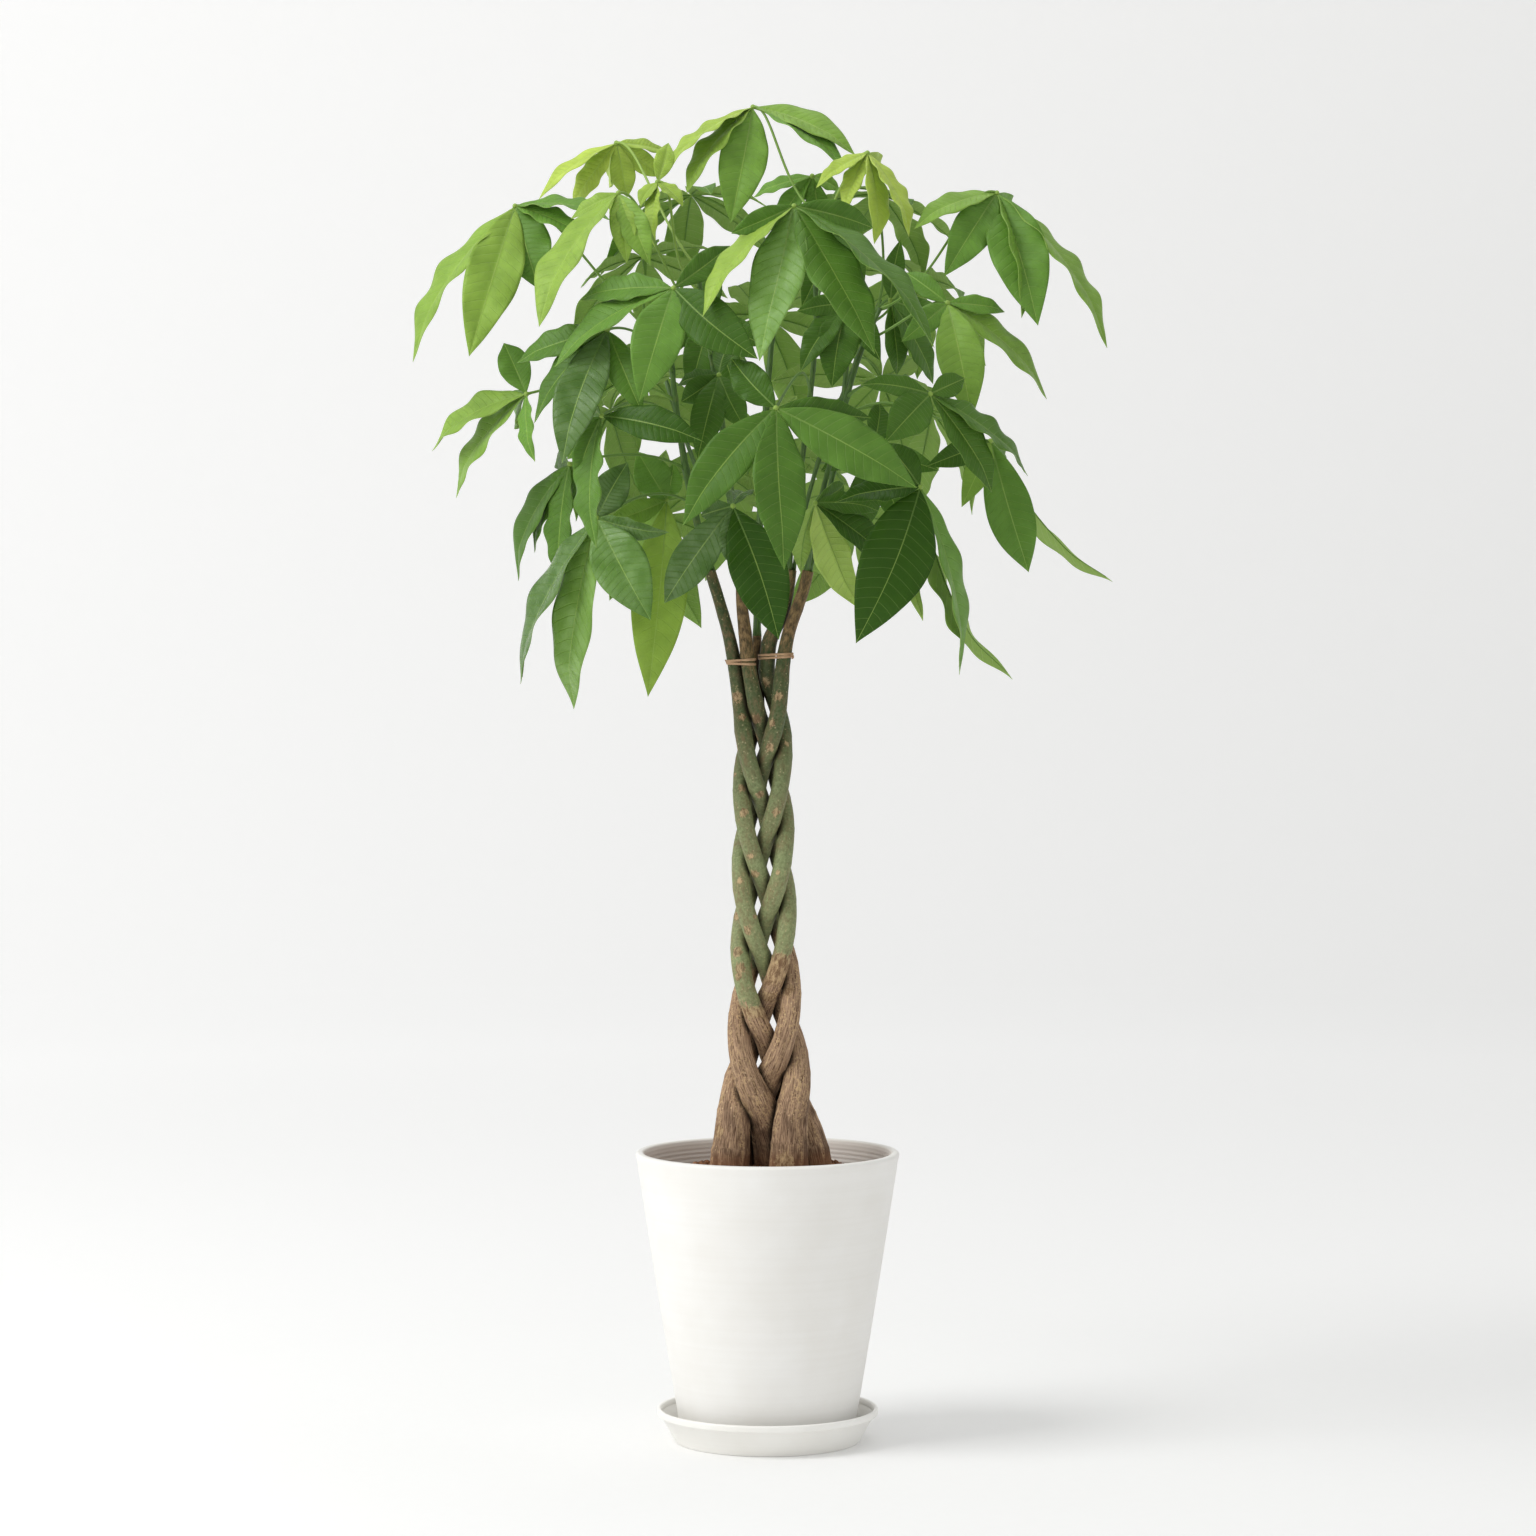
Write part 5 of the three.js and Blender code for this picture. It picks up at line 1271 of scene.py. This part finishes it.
def far_leaflets(hub, normal, size, turn, rng):
    """A fan of leaflets that droop from the leaf's plane, the middle ones longest."""
    first = normal.cross(UP).normalized()
    second = normal.cross(first)
    outer, more = FAR_LENGTHS
    leaflets = []
    for k in range(FAR_LEAFLETS):
        share = k / (FAR_LEAFLETS - 1) - 0.5
        angle = math.radians(FAR_FAN_ANGLE * share + turn - FAR_FAN_TILT)
        length = size * MM * (outer + more * math.cos(math.pi * share))
        out = second * math.cos(angle) + first * math.sin(angle)
        tip = hub + out * (length * math.cos(FAR_DROOP)) - normal * (length * math.sin(FAR_DROOP))
        leaflets.append(dict(
            tip=tip, width=BLADE_SLENDERNESS * length, normal=normal.copy(),
            tone=rng.uniform(*FAR_TONES)))
    return leaflets


def blade_outline(place, widest):
    """A leaflet's half width along its length: a drawn-out base and a long pointed tip."""
    if place < widest:
        return math.sin(math.pi / 2 * clamp((place - 0.015) / (widest - 0.015), 0, 1)) ** 0.85
    past = (place - widest) / (1 - widest)
    return (1 - past ** 2.1) ** 1.15


def make_blade(bm, hub, leaflet, grid, rng):
    """One leaflet: a grid drawn to the leaf's outline, folded, bowed, waved and quilted."""
    layers = bm.verts.layers
    blade, tone, gloss_and_painted_sheen = layers.float_vector["blade"], layers.float["tone"], layers.float["gloss_and_painted_sheen"]
    chord = leaflet["tip"] - hub
    length = chord.length
    along = chord.normalized()
    face = leaflet["normal"] - along * leaflet["normal"].dot(along)
    face.normalize()
    across = along.cross(face)
    widest = rng.uniform(0.45, 0.53)
    fold = rng.uniform(0.14, 0.30)
    sway = rng.uniform(-0.035, 0.035)
    curl = rng.uniform(0.02, 0.06)
    waves = rng.uniform(2.6, 4.2)
    wave_height = rng.uniform(0.06, 0.15)
    wave_start = {-1: rng.uniform(0, FULL_TURN), 1: rng.uniform(0, FULL_TURN)}
    twist = rng.uniform(-0.25, 0.25)

    def rib(place):
        bow = 4 * BLADE_BOW * place * (1 - place) - curl * ease(place, 0.72, 1)
        bend = sway * math.sin(math.pi * place)
        return hub + chord * place + face * (bow * length) + across * (bend * length)

    columns, rows = grid
    made = bmesh.ops.create_grid(bm, x_segments=columns, y_segments=rows, size=0.5)
    for vert in made["verts"]:
        place, share = vert.co.y + 0.5, 2 * vert.co.x
        side = 1 if share > 0 else -1
        out = abs(share)
        half = blade_outline(place, widest) * leaflet["width"] / 2
        phase = VEINS * (place - VEIN_SWEEP * out ** 1.25 * blade_outline(place, widest))
        between = phase + (VEIN_STAGGER if side > 0 else 0)
        puff = abs(math.sin(math.pi * between)) ** 0.7
        wave = math.sin(FULL_TURN * waves * place + wave_start[side])
        lift = half * fold * (out - 0.3 * out ** 3)
        lift += half * wave_height * wave * out ** 3
        lift += QUILT_HEIGHT * puff * ease(out, 0.02, 0.25) * (1 - out ** 4) * ease(half, 0, 9 * MM)
        turn = twist * (place - 0.5)
        right = across * math.cos(turn) + face * math.sin(turn)
        front = face * math.cos(turn) - across * math.sin(turn)
        vert.co = rib(place) + right * (half * share) + front * lift
        vert[blade] = (half * share, place, phase)
        vert[tone] = leaflet["tone"]
        # this share lowers the roughness of the upper side and sets its painted sheen
        vert[gloss_and_painted_sheen] = leaflet.get("gloss_and_painted_sheen", 0)
    upper = {face_made for vert in made["verts"] for face_made in vert.link_faces}
    bmesh.ops.remove_doubles(bm, verts=made["verts"], dist=WELD_GAP)
    upper = [face_made for face_made in upper if face_made.is_valid]
    bm.normal_update()
    shell = bmesh.ops.solidify(bm, geom=upper, thickness=BLADE_THICKNESS)
    kept = set(upper)
    verts = {vert for face_made in upper for vert in face_made.verts}
    for part in shell["geom"]:
        if isinstance(part, bmesh.types.BMFace):
            part.material_index = 1
            verts.update(part.verts)
    for vert in verts:
        for face_made in vert.link_faces:
            if face_made not in kept:
                face_made.material_index = 1
    # the midrib stands out under the blade as a tapering cord
    thick, thin = MIDRIB_RADII
    cord = []
    for i in range(MIDRIB_STEPS):
        place = i / MIDRIB_STEPS
        cord.append((rib(place) - face * MIDRIB_DROP, thick - (thick - thin) * place))
    for face_made in tube(bm, cord, MIDRIB_SIDES, tone=leaflet["tone"]):
        face_made.material_index = 2


def petiole_stations(hub, stations, row):
    """The stalk leaves its shoot outwards and upwards and arches over to the leaf's hub."""
    place, radius, along = station_at(stations, from_view(PHOTO_AXIS_COLUMN, row, 0).z)
    out = Vector((hub.x - place.x, hub.y - place.y, 0))
    out = (out - along * out.dot(along)).normalized()
    start = place + out * (radius * PETIOLE_SINK)
    span = (hub - start).length
    outwards, upwards = PETIOLE_START
    rise = out * outwards + along * upwards
    hold, last_hold = PETIOLE_HOLD
    corners = (start, start + rise * (hold * span),
               hub - out * (last_hold * span) + UP * (PETIOLE_ARCH * span), hub)
    line = []
    for i in range(PETIOLE_STATIONS + 1):
        t = i / PETIOLE_STATIONS
        near_end = max(math.exp(-(t * span / PULVINUS_LENGTH) ** 2),
                       HUB_PULVINUS * math.exp(-((1 - t) * span / PULVINUS_LENGTH) ** 2))
        thick = PETIOLE_RADIUS + (PULVINUS_RADIUS - PETIOLE_RADIUS) * near_end
        line.append((bezier_point(*corners, t), thick))
    return line


def make_leaf(name, leaf, stems, materials):
    """A compound leaf: a stalk, a small round hub and its fan of leaflets, grown as one."""
    rng = random.Random(name)
    bm = new_mesh()
    if "tips" in leaf:
        hub = from_view(*leaf["hub"])
        grid = NEAR_GRID
        leaflets = [seen_leaflet(hub, crown_normal(hub), *tip) for tip in leaf["tips"]]
        for k in leaf.get("glossy", ()):
            leaflets[k]["gloss_and_painted_sheen"] = 1
    else:
        azimuth = math.radians(leaf["azimuth"])
        reach = leaf["reach"] * MM
        hub = Vector((reach * math.cos(azimuth), reach * math.sin(azimuth), leaf["height"] * MM))
        grid = FAR_GRID
        leaflets = far_leaflets(hub, crown_normal(hub), leaf["size"], leaf["turn"], rng)
    for leaflet in leaflets:
        blade = new_mesh()
        make_blade(blade, hub, leaflet, grid, rng)
        add_to(bm, blade)
    shoot, row = leaf["on"]
    mean_tone = sum(leaflet["tone"] for leaflet in leaflets) / len(leaflets)
    stalk = tube(bm, petiole_stations(hub, stems[shoot], row), PETIOLE_SIDES, tone=mean_tone)
    ball = bmesh.ops.create_uvsphere(
        bm, u_segments=12, v_segments=8, radius=HUB_RADIUS, matrix=Matrix.Translation(hub))
    tone = bm.verts.layers.float["tone"]
    for vert in ball["verts"]:
        vert[tone] = HUB_TONE
    knob = [face for vert in ball["verts"] for face in vert.link_faces]
    for face in stalk + knob:
        face.material_index = 2
    finish_piece(bm, "compound_" + name, name, materials)


# ------------------------------------------------------------------ studio


FLOOR_RADIUS = 6.2
COVE_RADIUS = 2.8
COVE_TOP = 4.2
WORLD_STRENGTH = 0.54
LAMP_TARGET = Vector((0, 0, 0.8))
# name, place, size and watts
LAMPS = [
    ("key", (-3.0, -1.3, 3.7), 2.4, 119),
    ("top", (0.4, 0.6, 4.4), 2.4, 30),
]


def make_studio():
    """A round cove: a pale floor that curves up into a wall all round, under soft white light."""
    bm = new_mesh()
    profile = [(0, 0), (FLOOR_RADIUS, 0)]
    profile += arc(FLOOR_RADIUS, COVE_RADIUS, COVE_RADIUS, -88, 0, 24)
    profile += [(FLOOR_RADIUS + COVE_RADIUS, COVE_TOP)]
    spun(bm, profile, closed=False)
    cove = finish_object(bm, "studio_cove", [pale_studio_paper()])

    world = bpy.data.worlds.new("studio_light")
    world.use_nodes = True
    bpy.context.scene.world = world
    sky = world.node_tree.nodes["Background"]
    sky.inputs["Color"].default_value = linear("#FFFFFF")
    sky.inputs["Strength"].default_value = WORLD_STRENGTH

    for name, place, size, power in LAMPS:
        data = bpy.data.lights.new(name, "AREA")
        data.size = size
        data.energy = power
        lamp = bpy.data.objects.new(name, data)
        lamp.location = place
        aim = LAMP_TARGET - Vector(place)
        lamp.rotation_euler = aim.to_track_quat("-Z", "Y").to_euler()
        lamp.visible_camera = False
        bpy.context.scene.collection.objects.link(lamp)
    bpy.context.scene.view_settings.view_transform = "Standard"


# ------------------------------------------------------------------ assembly

make_camera()
make_studio()

make_pot(glazed_stoneware("matt_white_stoneware", "#F3F2EF", "#ECEAE5", "#E4DAD0", 0.55))
make_saucer(glazed_stoneware("glazed_white_stoneware", "#F7F6F2", "#F0EEE8", "#F2EFE8", 0.40))

trunk_lines = {
    trunk["name"]: smooth_stations(trunk_points(trunk), TRUNK_STATIONS) for trunk in TRUNKS}
make_soil(fired_clay_granules(), trunk_lines.values())

bark = money_tree_bark()
front_scars = seen_scars(trunk_lines)
for trunk in TRUNKS:
    name = trunk["name"]
    neighbours = [(line, [place.z for place, _ in line])
                  for other, line in trunk_lines.items() if other != name]
    make_trunk(trunk, trunk_lines[name], neighbours, front_scars[name], bark)

raffia = raffia_strip()
for tie in TIES:
    make_tie(tie, raffia)

shoot_bark = green_shoot_bark()
leaves = SEEN_LEAVES + FAR_LEAVES
stems = {}
for shoot in SHOOTS:
    name = shoot["name"]
    stems[name] = shoot_stations(shoot, trunk_lines[shoot["on"]])
    joint_heights = [from_view(PHOTO_AXIS_COLUMN, leaf["on"][1], 0).z
                     for leaf in leaves if leaf["on"][0] == name]
    make_shoot(shoot, stems[name], joint_heights, shoot_bark)

leaf_materials = [waxy_leaf_upper_side(), downy_leaf_underside(), petiole_skin()]
for number, leaf in enumerate(leaves, 1):
    make_leaf("leaf_%02d" % number, leaf, stems, leaf_materials)
